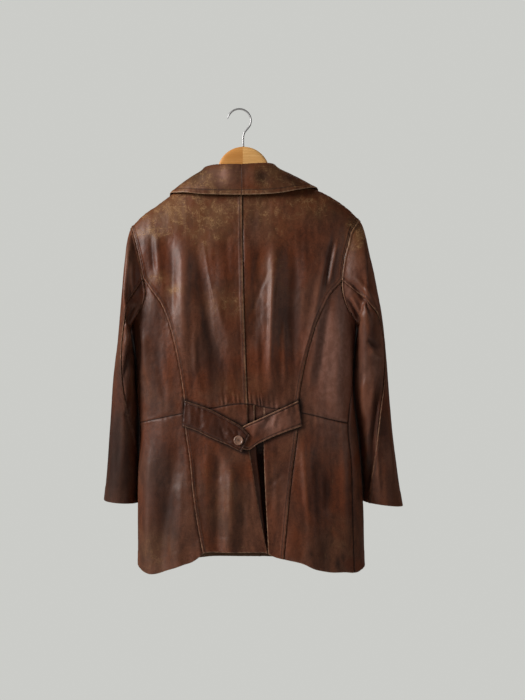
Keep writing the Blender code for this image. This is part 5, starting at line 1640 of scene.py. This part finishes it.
def hanger_body():
    """The wooden body: sections from one arm's end over the crown to the other's."""
    half_turn = np.radians(np.linspace(-90, 90, 41))
    crown = WOOD_CROWN[0] + WOOD_CROWN_RADIUS * np.sin(half_turn)
    ends = 0.5 - 0.5 * np.cos(np.linspace(0, math.pi / 2, 12))
    stations = np.concatenate([
        WOOD_ENDS[0] + WOOD_TIP * ends,
        np.linspace(WOOD_ENDS[0] + PAST_TIP, crown[0] - OFF_CROWN, 40), crown,
        np.linspace(crown[-1] + OFF_CROWN, WOOD_ENDS[1] - PAST_TIP, 40),
        WOOD_ENDS[1] - WOOD_TIP * ends[::-1]])
    turns = np.radians(np.arange(0, 360, 12))
    rings = []
    for x in stations:
        from_end = min(x - WOOD_ENDS[0], WOOD_ENDS[1] - x)
        tip = math.sqrt(max(1 - (1 - min(1.0, from_end / WOOD_TIP)) ** 2, 0.02))
        top, off_crown = float(wood_top(np.array(x))), abs(x - WOOD_CROWN[0])
        arm = top if off_crown > WOOD_MIDDLE_REACH else WOOD_MIDDLE_DROP
        end = arm + WOOD_TALL + WOOD_TALLER * (1 - off_crown / WOOD_ARM)
        middle, half = (top + end) / 2, (end - top) / 2
        y = WOOD_THICKNESS / 2 * shape_power(np.cos(turns), WOOD_SQUARE)
        z = -middle + half * tip * shape_power(np.sin(turns), WOOD_ROUND)
        y = y * spread(WOOD_TIP_THIN, 1.0, tip)
        rings.append(np.stack([np.full(len(turns), x), y, z], axis=1))
    tube("hanger_wooden_body", np.array(rings))


hanger_body()

# %% Bend the hook
WIRE_RADIUS = 0.00185
HOOK_RADIUS = 0.0235
HOOK_CENTRE_X = 0.0005
HOOK_TURNS = (172, -48)           # degrees round the hook, from its tip to where it leaves it
HOOK_TIP_ROUND = (0.05, 12)       # along the wire: the square of its width, which stops at 1
HOOK_STEM = [(0.0108, -0.0465), (0.0088, -0.0530), (0.0085, -0.0610),
             (0.0088, -WOOD_CROWN[1] + SEAM_GAP)]


def wire_hook():
    """The hook's wire, from its rounded tip over the crest and down into the wood."""
    centre_drop = HOOK_RADIUS - WIRE_RADIUS
    turns = np.radians(np.linspace(*HOOK_TURNS, 15))
    path = [(HOOK_CENTRE_X + HOOK_RADIUS * math.cos(t),
             -centre_drop + HOOK_RADIUS * math.sin(t)) for t in turns]
    path = smooth_rows(np.array(path + HOOK_STEM)[:, None], 150)[:, 0]
    ahead = unit(np.gradient(path, axis=0))
    turns = np.linspace(0, 2 * math.pi, 14, endpoint=False)
    tip = np.minimum(1.0, np.sqrt(np.linspace(*HOOK_TIP_ROUND, len(path))))
    rings = []
    for (x, z), (dx, dz), size in zip(path, ahead, tip):
        off = WIRE_RADIUS * size * np.cos(turns)
        rings.append(np.stack([x - dz * off, WIRE_RADIUS * size * np.sin(turns),
                               z + dx * off], axis=1))
    tube("hanger_wire_hook", np.array(rings))


wire_hook()

# %% [markdown]
# ## Worn leather
#
# The finish tells the coat's age. Under everything is a brown that drifts from reddish to
# greyish over a hand's width. Fine pores and creases catch the light. Ridges are paler, partly
# rubbed and partly painted highlight, and valleys are darker as painted shade. Lapped edges are
# rubbed pale, seams and the leather beside the belt are darkened with dirt and painted shade,
# stains and broad patches of painted shade darken it, pale pink patches are painted sheen, and
# where the coat was carried and leaned on, the colour is scratched off to tan. Each of these is
# one layer of the material, and the attributes that the panels were made with say where it acts.

# %% A helper that adds nodes
class Finish:
    """A material's node tree, with short ways to add what a surface needs."""

    def __init__(self, name):
        self.surface = bpy.data.materials.new(name)
        self.surface.use_nodes = True
        self.nodes = self.surface.node_tree.nodes
        self.links = self.surface.node_tree.links
        self.shader = self.nodes["Principled BSDF"]
        self.place = self.nodes.new("ShaderNodeTexCoord").outputs["Object"]

    def join(self, value, socket):
        """Link a socket to another's output, or set it to a plain value."""
        if isinstance(value, bpy.types.NodeSocket):
            self.links.new(value, socket)
        else:
            socket.default_value = value

    def stretched(self, scale, turn=(0, 0, 0)):
        """The object's own coordinates, turned and scaled."""
        node = self.nodes.new("ShaderNodeMapping")
        self.join(self.place, node.inputs["Vector"])
        node.inputs["Rotation"].default_value = turn
        node.inputs["Scale"].default_value = scale
        return node.outputs[0]

    def noise(self, scale, detail=3.0, distort=0.0, rough=0.55, where=None):
        node = self.nodes.new("ShaderNodeTexNoise")
        self.join(where or self.place, node.inputs["Vector"])
        for label, value in (("Scale", scale), ("Detail", detail), ("Roughness", rough),
                             ("Distortion", distort)):
            node.inputs[label].default_value = value
        return node.outputs["Fac"]

    def cells(self, scale):
        node = self.nodes.new("ShaderNodeTexVoronoi")
        self.join(self.place, node.inputs["Vector"])
        node.inputs["Scale"].default_value = scale
        return node.outputs["Distance"]

    def attribute(self, name):
        node = self.nodes.new("ShaderNodeAttribute")
        node.attribute_name = name
        return node.outputs["Fac"]

    def sum(self, kind, a, b, limit=False):
        node = self.nodes.new("ShaderNodeMath")
        node.operation, node.use_clamp = kind, limit
        self.join(a, node.inputs[0])
        self.join(b, node.inputs[1])
        return node.outputs[0]

    def between(self, value, low, high, start=0.0, end=1.0):
        """A smooth rise from `start` to `end` as the value goes from low to high."""
        node = self.nodes.new("ShaderNodeMapRange")
        node.interpolation_type = "SMOOTHSTEP"
        for number, given in enumerate((value, low, high, start, end)):
            self.join(given, node.inputs[number])
        return node.outputs[0]

    def mix(self, share, a, b):
        """Colour a where the share is 0 and colour b where it is 1."""
        node = self.nodes.new("ShaderNodeMix")
        node.data_type = "RGBA"
        self.join(share, node.inputs[0])
        for value, socket in ((a, node.inputs[6]), (b, node.inputs[7])):
            self.join((*value, 1.0) if isinstance(value, tuple) else value, socket)
        return node.outputs[2]

    def bump(self, height, depth, below=None):
        node = self.nodes.new("ShaderNodeBump")
        node.inputs["Strength"].default_value = 1.0
        node.inputs["Distance"].default_value = depth
        self.join(height, node.inputs["Height"])
        if below:
            self.join(below, node.inputs["Normal"])
        return node.outputs[0]

    def done(self, colour, roughness, normal, metal=0.0, coat=0.0, coat_rough=0.1,
             specular=0.5):
        self.join(colour, self.shader.inputs["Base Color"])
        self.join(roughness, self.shader.inputs["Roughness"])
        self.join(normal, self.shader.inputs["Normal"])
        self.shader.inputs["Metallic"].default_value = metal
        self.shader.inputs["Coat Weight"].default_value = coat
        self.shader.inputs["Coat Roughness"].default_value = coat_rough
        self.shader.inputs["Specular IOR Level"].default_value = specular
        return self.surface


# %% Mix the leather's finish
UMBER = (0.018, 0.0048, 0.0020)
CHESTNUT = (0.140, 0.0360, 0.0135)
TAUPE = (0.150, 0.0560, 0.0300)
# The greyish pink of painted sheen.
PAINTED_SHEEN_PINK = (0.270, 0.1300, 0.0950)
FADED_BROWN = (0.175, 0.0830, 0.0340)
SCUFFED_TAN = (0.380, 0.2100, 0.0900)
RUBBED_EDGE = (0.330, 0.1900, 0.1100)
# The dark brown of dirt, stains and painted shade.
DIRT_AND_SHADE_BROWN = (0.009, 0.0035, 0.0020)


def brown_ground(make, blotch, faded):
    """The unworn colour: a slow drift between two browns, darker in blotches and specks."""
    base = make.mix(make.between(make.noise(7.0, 3.0, 0.8), 0.36, 0.64), CHESTNUT, faded)
    base = make.mix(make.between(blotch, 0.38, 0.68, 0.0, 0.55), base, UMBER)
    base = make.mix(make.between(make.noise(110.0, 5.0, 1.2), 0.42, 0.72, 0.0, 0.30), base, UMBER)
    return make.mix(make.between(make.noise(420.0, 4.0), 0.35, 0.75, 0.0, 0.30), base, UMBER)


def bared(make, scuff, fleck, spread_out):
    """Where a scuff has taken the colour off: in flecks, in webs of cracks and in scratches."""
    flecks = make.between(make.sum("ADD", fleck, make.sum("MULTIPLY", spread_out, 0.12)),
                          0.66, 0.76, 0.0, 0.7)
    webs = 0.0
    for scale, turn in (((30, 30, 85), (0.2, 0.55, 0.0)), ((85, 60, 30), (0.0, -0.6, 0.3)),
                        ((62, 62, 62), (0.0, 0.0, 0.0))):
        level = make.noise(1.0, 2.5, 1.4, 0.6, make.stretched(scale, turn))
        level = make.sum("ABSOLUTE", make.sum("SUBTRACT", level, 0.5), 0.0)
        webs = make.sum("MAXIMUM", make.between(level, 0.0, 0.020, 1.0, 0.0), webs)
    broken = make.between(make.noise(58.0, 2.0), 0.46, 0.55)
    webs = make.sum("MULTIPLY", webs,
                    make.sum("MULTIPLY", broken, make.between(spread_out, 0.05, 0.6)))
    scratch = make.noise(1.0, 3.0, 1.2, 0.6, make.stretched((30, 30, 520), (0.5, 0.3, 0.9)))
    crossed = make.noise(1.0, 3.0, 1.5, 0.6, make.stretched((420, 30, 30), (0.2, 0.7, 0.35)))
    lines = make.sum("MAXIMUM", make.between(scratch, 0.67, 0.73),
                     make.between(crossed, 0.68, 0.74))
    lines = make.sum("MULTIPLY", lines, make.between(scuff, 0.02, 0.5, 0.25, 1.0))
    return make.sum("MAXIMUM", make.sum("MULTIPLY", flecks, make.between(scuff, 0.0, 0.5)),
                    make.sum("MAXIMUM", webs, lines))


def leather_finish(name, tone=1.0, faded=TAUPE):
    """Worn leather; a tone below 1 darkens it, and `faded` is the paler of its two browns."""
    make = Finish(name)
    blotch = make.noise(1.0, 4.0, 0.5, 0.55, make.stretched((34, 34, 13)))
    base = brown_ground(make, blotch, faded)
    rub = make.attribute("rub")
    # Ridges paler, partly rubbed and partly painted highlight; valleys darker as painted shade.
    base = make.mix(make.between(rub, 0.3, 4.0, 0.0, 0.45), base, faded)
    painted_valley_shade = make.between(make.sum("MULTIPLY", rub, -1.0), 0.2, 3.6)
    base = make.mix(make.sum("MULTIPLY", painted_valley_shade, 0.45), base, UMBER)
    mottle = make.between(make.noise(75.0, 4.0, 0.8), 0.36, 0.64, 0.45, 0.75)
    # Painted sheen: pale greyish pink patches where highlights fall.
    base = make.mix(make.sum("MULTIPLY", make.attribute("pale"), mottle), base, PAINTED_SHEEN_PINK)
    scuff = make.attribute("scuff")
    cloud = make.noise(26.0, 3.0, 1.0)
    spread_out = make.sum("MULTIPLY", make.between(cloud, 0.38, 0.58, 0.45, 1.0), scuff)
    base = make.mix(make.sum("MULTIPLY", spread_out, 0.75), base, FADED_BROWN)
    fleck = make.noise(130.0, 5.0, 1.8, 0.62, make.stretched((1.3, 1.0, 0.7), (0.3, 0.2, 0.5)))
    bare = bared(make, scuff, fleck, spread_out)
    base = make.mix(make.sum("MULTIPLY", bare, 0.66), base, SCUFFED_TAN)
    chance = make.sum("ADD", make.sum("MULTIPLY", fleck, 0.4), make.sum("MULTIPLY", cloud, 0.9))
    edge = make.between(make.sum("ADD", make.attribute("worn_edge"), chance), 0.85, 1.65)
    base = make.mix(make.sum("MULTIPLY", edge, 0.85), base, RUBBED_EDGE)
    # Dirt and stains, with painted shade in seams, under lapped edges, beside the belt and in
    # broad patches.
    darkening = make.sum("MAXIMUM", make.attribute("dirt"), make.attribute("stain"))
    base = make.mix(make.sum("MULTIPLY", darkening, 0.85), base, DIRT_AND_SHADE_BROWN)
    if tone != 1.0:
        base = make.mix(1.0 - tone, base, UMBER)
    rough = make.between(blotch, 0.3, 0.7, 0.43, 0.54)
    rough = make.sum("ADD", rough, make.sum("MULTIPLY", bare, 0.2))
    rough = make.sum("ADD", rough, make.sum("MULTIPLY", edge, 0.1))
    rough = make.sum("ADD", rough, make.sum("MULTIPLY", make.sum("MAXIMUM", painted_valley_shade, darkening), 0.22),
                     True)
    normal = make.bump(make.noise(70.0, 4.0, 1.0), 0.0005)
    normal = make.bump(make.noise(260.0, 3.0, 0.6), 0.00022, normal)
    normal = make.bump(make.cells(900.0), 0.00012, normal)
    normal = make.bump(bare, -0.00012, normal)
    return make.done(base, rough, normal, coat=0.10, coat_rough=0.28, specular=0.21)


leather = leather_finish("worn brown leather")
# The pleat's strip is darkened all over as painted shade.
pleat_leather = leather_finish("shaded pleat leather", 0.75)
belt_leather = leather_finish("dark belt leather", 0.46, CHESTNUT)
print("leather finish:", len(leather.node_tree.nodes), "nodes")

# %% [markdown]
# ## Suede and thread
#
# Inside, leather keeps its flesh side, a matt and hairy nap that a fine noise can stand for.
# The thread is waxed and twisted, so its noise is far finer than a stitch.

# %% Mix the suede and the thread
SUEDE, DARK_SUEDE, NAP = (0.105, 0.055, 0.030), (0.070, 0.034, 0.018), (0.150, 0.085, 0.050)
DARK_THREAD, THREAD = (0.050, 0.022, 0.012), (0.110, 0.055, 0.030)


def suede_finish():
    """The leather's rough flesh side, inside the coat."""
    make = Finish("leather flesh side")
    nap = make.noise(500.0, 4.0)
    base = make.mix(make.between(make.noise(14.0, 3.0, 0.5), 0.3, 0.7), SUEDE, DARK_SUEDE)
    base = make.mix(make.between(nap, 0.3, 0.8, 0.0, 0.5), base, NAP)
    return make.done(base, 0.92, make.bump(nap, 0.0004), specular=0.2)


def thread_finish():
    make = Finish("waxed brown thread")
    twist = make.noise(2600.0, 1.0)
    base = make.mix(make.between(twist, 0.3, 0.7), DARK_THREAD, THREAD)
    return make.done(base, 0.6, make.bump(twist, 0.0001))


# %% [markdown]
# ## Horn, wood and wire
#
# Horn grows in layers, so a button is clouded and streaked: two noises of different grain mix
# three browns. The hanger's two halves come from different boards and meet in the middle, so
# each has its own colours and its own slant of grain, made by noise that is drawn out along the
# board. Drawn wire is streaked along its length, which shows in its roughness.

# %% Mix the horn, the wood and the wire
HORN, DARK_HORN, PALE_HORN = (0.31, 0.170, 0.115), (0.17, 0.080, 0.050), (0.44, 0.310, 0.240)
JOINT_X, JOINT_WIDTH = 0.0078, 0.0008    # where the hanger's two wooden halves meet
# Each half's slant of grain, its lighter colour and its darker one, from left to right.
BOARDS = ((0.45, (0.76, 0.360, 0.098), (0.63, 0.268, 0.064)),
          (-0.30, (0.94, 0.545, 0.205), (0.80, 0.415, 0.128)))
WOOD_FLECK = (0.32, 0.150, 0.050)
STEEL, DULL_STEEL = (0.50, 0.50, 0.51), (0.34, 0.32, 0.30)


def button_finish():
    """Marbled horn: cloudy tan with darker streaks and paler flecks."""
    make = Finish("marbled horn")
    streak = make.noise(1.0, 4.0, 2.0, 0.6, make.stretched((260, 260, 620)))
    base = make.mix(make.between(streak, 0.32, 0.68), HORN, DARK_HORN)
    base = make.mix(make.between(make.noise(1400.0, 3.0), 0.5, 0.8, 0.0, 0.5), base, PALE_HORN)
    return make.done(base, 0.34, make.bump(make.noise(900.0, 3.0), 0.00004),
                     coat=0.2, coat_rough=0.2)


def wood_finish():
    """Varnished beech: two halves joined in the middle, the left one darker, grain aslant."""
    make = Finish("varnished beech")
    halves = []
    for slant, light, dark in BOARDS:
        grain = make.noise(1.0, 5.0, 0.4, 0.6, make.stretched((16, 300, 280), (0, slant, 0)))
        board = make.noise(1.0, 3.0, 0.8, 0.5, make.stretched((6, 60, 42), (0, slant, 0)))
        half = make.mix(make.between(grain, 0.3, 0.7), light, dark)
        halves.append(make.mix(make.between(board, 0.45, 0.62, 0.0, 0.5), half, dark))
    parts = make.nodes.new("ShaderNodeSeparateXYZ")
    make.join(make.place, parts.inputs[0])
    joint = JOINT_X - JOINT_WIDTH / 2, JOINT_X + JOINT_WIDTH / 2
    base = make.mix(make.between(parts.outputs[0], *joint), *halves)
    fleck = make.noise(1.0, 2.0, 0.0, 0.5, make.stretched((160, 900, 1500)))
    base = make.mix(make.between(fleck, 0.62, 0.75, 0.0, 0.5), base, WOOD_FLECK)
    return make.done(base, make.between(grain, 0.3, 0.7, 0.30, 0.42),
                     make.bump(grain, 0.00010), coat=0.35, coat_rough=0.15)


def wire_finish():
    make = Finish("drawn steel wire")
    drawn = make.noise(1.0, 3.0, 0.0, 0.6, make.stretched((1200, 1200, 90)))
    spot = make.noise(300.0, 4.0)
    base = make.mix(make.between(spot, 0.45, 0.8), STEEL, DULL_STEEL)
    return make.done(base, make.between(drawn, 0.3, 0.7, 0.42, 0.54),
                     make.bump(make.noise(60.0, 2.0), 0.00002), metal=0.85)


# %% Put every finish on its piece
# The pieces that the coat has twice, and the solids that they stand for.
PAIRS = {"upper_back_": "back_upper_", "side_back_": "side_back_upper_",
         "side_skirt_piece_": "side_skirt_", "back_skirt_piece_": "back_skirt_",
         "front_panel_": "front_", "top_sleeve_piece_": "top_sleeve_",
         "under_sleeve_piece_": "under_sleeve_", "collar_piece_": "collar_",
         "belt_tab_": "belt_"}
SPECIAL_LEATHER = {"pleat_strip": pleat_leather, "belt_tab_left": belt_leather}

suede, thread, horn = suede_finish(), thread_finish(), button_finish()
sew_stitches("topstitching", stitch_rows, thread)
for name, piece in pieces.items():
    surfaces = piece.data.materials
    if name.startswith((*PAIRS, "pleat_strip")):
        surfaces.append(SPECIAL_LEATHER.get(name, leather))
        surfaces.append(suede)
    elif "button_turned" in name:
        surfaces.clear()
        surfaces.append(horn)
    elif "button_thread" in name:
        surfaces.append(thread)
pieces["hanger_wooden_body"].data.materials.append(wood_finish())
pieces["hanger_wire_hook"].data.materials.append(wire_finish())

# %% [markdown]
# ## What each piece stands for
#
# Every new piece rides on the solid model's one body and stands for a solid there.

# %% Ride and replace
STANDS_FOR = {"pleat_strip": "pleat_underlay", "belt_button_turned": "belt_button",
              "hanger_wooden_body": "hanger_wood", "hanger_wire_hook": "hanger_hook"}
for ours, solid in PAIRS.items():
    STANDS_FOR.update({ours + half.name: solid + half.name for half in (LEFT, RIGHT)})
for number in range(1, len(FRONT_BUTTON_DROPS) + 1):
    STANDS_FOR[f"front_button_turned_{number}"] = f"front_button_{number}"

for name, piece in pieces.items():
    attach(piece, "root")
    if name in STANDS_FOR:
        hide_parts(STANDS_FOR[name])

# %% [markdown]
# ## Studio and camera
#
# A plain pale floor lies well below the hem, and a large soft light stands to the left of the
# camera, as a window would. A weak fill softens its shadows and another lights the fronts. The
# camera looks straight at the coat's back, level with its middle.

# %% Light the coat
AIM = (0.0475, 0.0, -0.485)       # the middle of the hanging coat
AMBIENT = 0.085                   # the share of the backdrop's brightness that lights the coat


def area_light(name, place, size, power, colour=(1, 1, 1)):
    """A round soft light at a place, turned to the coat."""
    data = bpy.data.lights.new(name, "AREA")
    data.shape, data.size, data.energy, data.color = "DISK", size, power, colour
    lamp = add_object(name, data)
    way = unit(np.array(AIM) - np.array(place))
    aside = unit(np.cross(way, np.array([0.0, 0.0, 1.0])))
    lamp.matrix_world = turned_to(aside, np.cross(aside, way), -way, place)
    return lamp


area_light("window light", (-2.9, -1.4, 0.8), 1.8, 152, (1.0, 0.975, 0.95))
area_light("soft fill", (2.6, -2.0, 0.3), 2.0, 11, (1.0, 0.97, 0.94))
rear = area_light("rear fill", (1.9, 2.2, 2.0), 2.2, 82)
rear.visible_glossy = False       # it lights the fronts but puts no glint on the outline

world = bpy.data.worlds.new("pale studio")
bpy.context.scene.world = world
world.use_nodes = True
backdrop = world.node_tree.nodes["Background"]
backdrop.inputs["Color"].default_value = (0.60, 0.605, 0.58, 1.0)
seen = world.node_tree.nodes.new("ShaderNodeLightPath")
dimmer = world.node_tree.nodes.new("ShaderNodeMapRange")
dimmer.inputs["To Min"].default_value = AMBIENT
world.node_tree.links.new(seen.outputs["Is Camera Ray"], dimmer.inputs["Value"])
world.node_tree.links.new(dimmer.outputs["Result"], backdrop.inputs["Strength"])
bpy.context.scene.view_settings.view_transform = "Standard"

# %% Lay the floor
FLOOR_DROP, FLOOR_HALF = 1.90, 2.4
mesh = bpy.data.meshes.new("floor")
mesh.from_pydata([(x * FLOOR_HALF, y * FLOOR_HALF, -FLOOR_DROP)
                  for x, y in ((-1, -1), (1, -1), (1, 1), (-1, 1))], [], [(0, 1, 2, 3)])
floor = add_object("floor", mesh)
make = Finish("pale floor")
mesh.materials.append(make.done(make.mix(make.noise(3.0, 4.0), (0.80, 0.80, 0.78),
                                         (0.84, 0.84, 0.82)), 0.8,
                                make.bump(make.noise(60.0, 3.0), 0.0005)))

# %% Set the camera
CAMERA_DISTANCE, PICTURE_HEIGHT, SENSOR = 2.6, 1.414, 24.0
lens = bpy.data.cameras.new("camera")
lens.sensor_fit, lens.sensor_height = "VERTICAL", SENSOR
lens.lens = SENSOR * CAMERA_DISTANCE / PICTURE_HEIGHT
camera = add_object("camera", lens)
camera.location = (AIM[0], -CAMERA_DISTANCE, AIM[2])
camera.rotation_euler = (math.pi / 2, 0.0, 0.0)
bpy.context.scene.camera = camera
print("camera:", CAMERA_DISTANCE, "m from the coat, with a", round(lens.lens, 1), "mm lens")
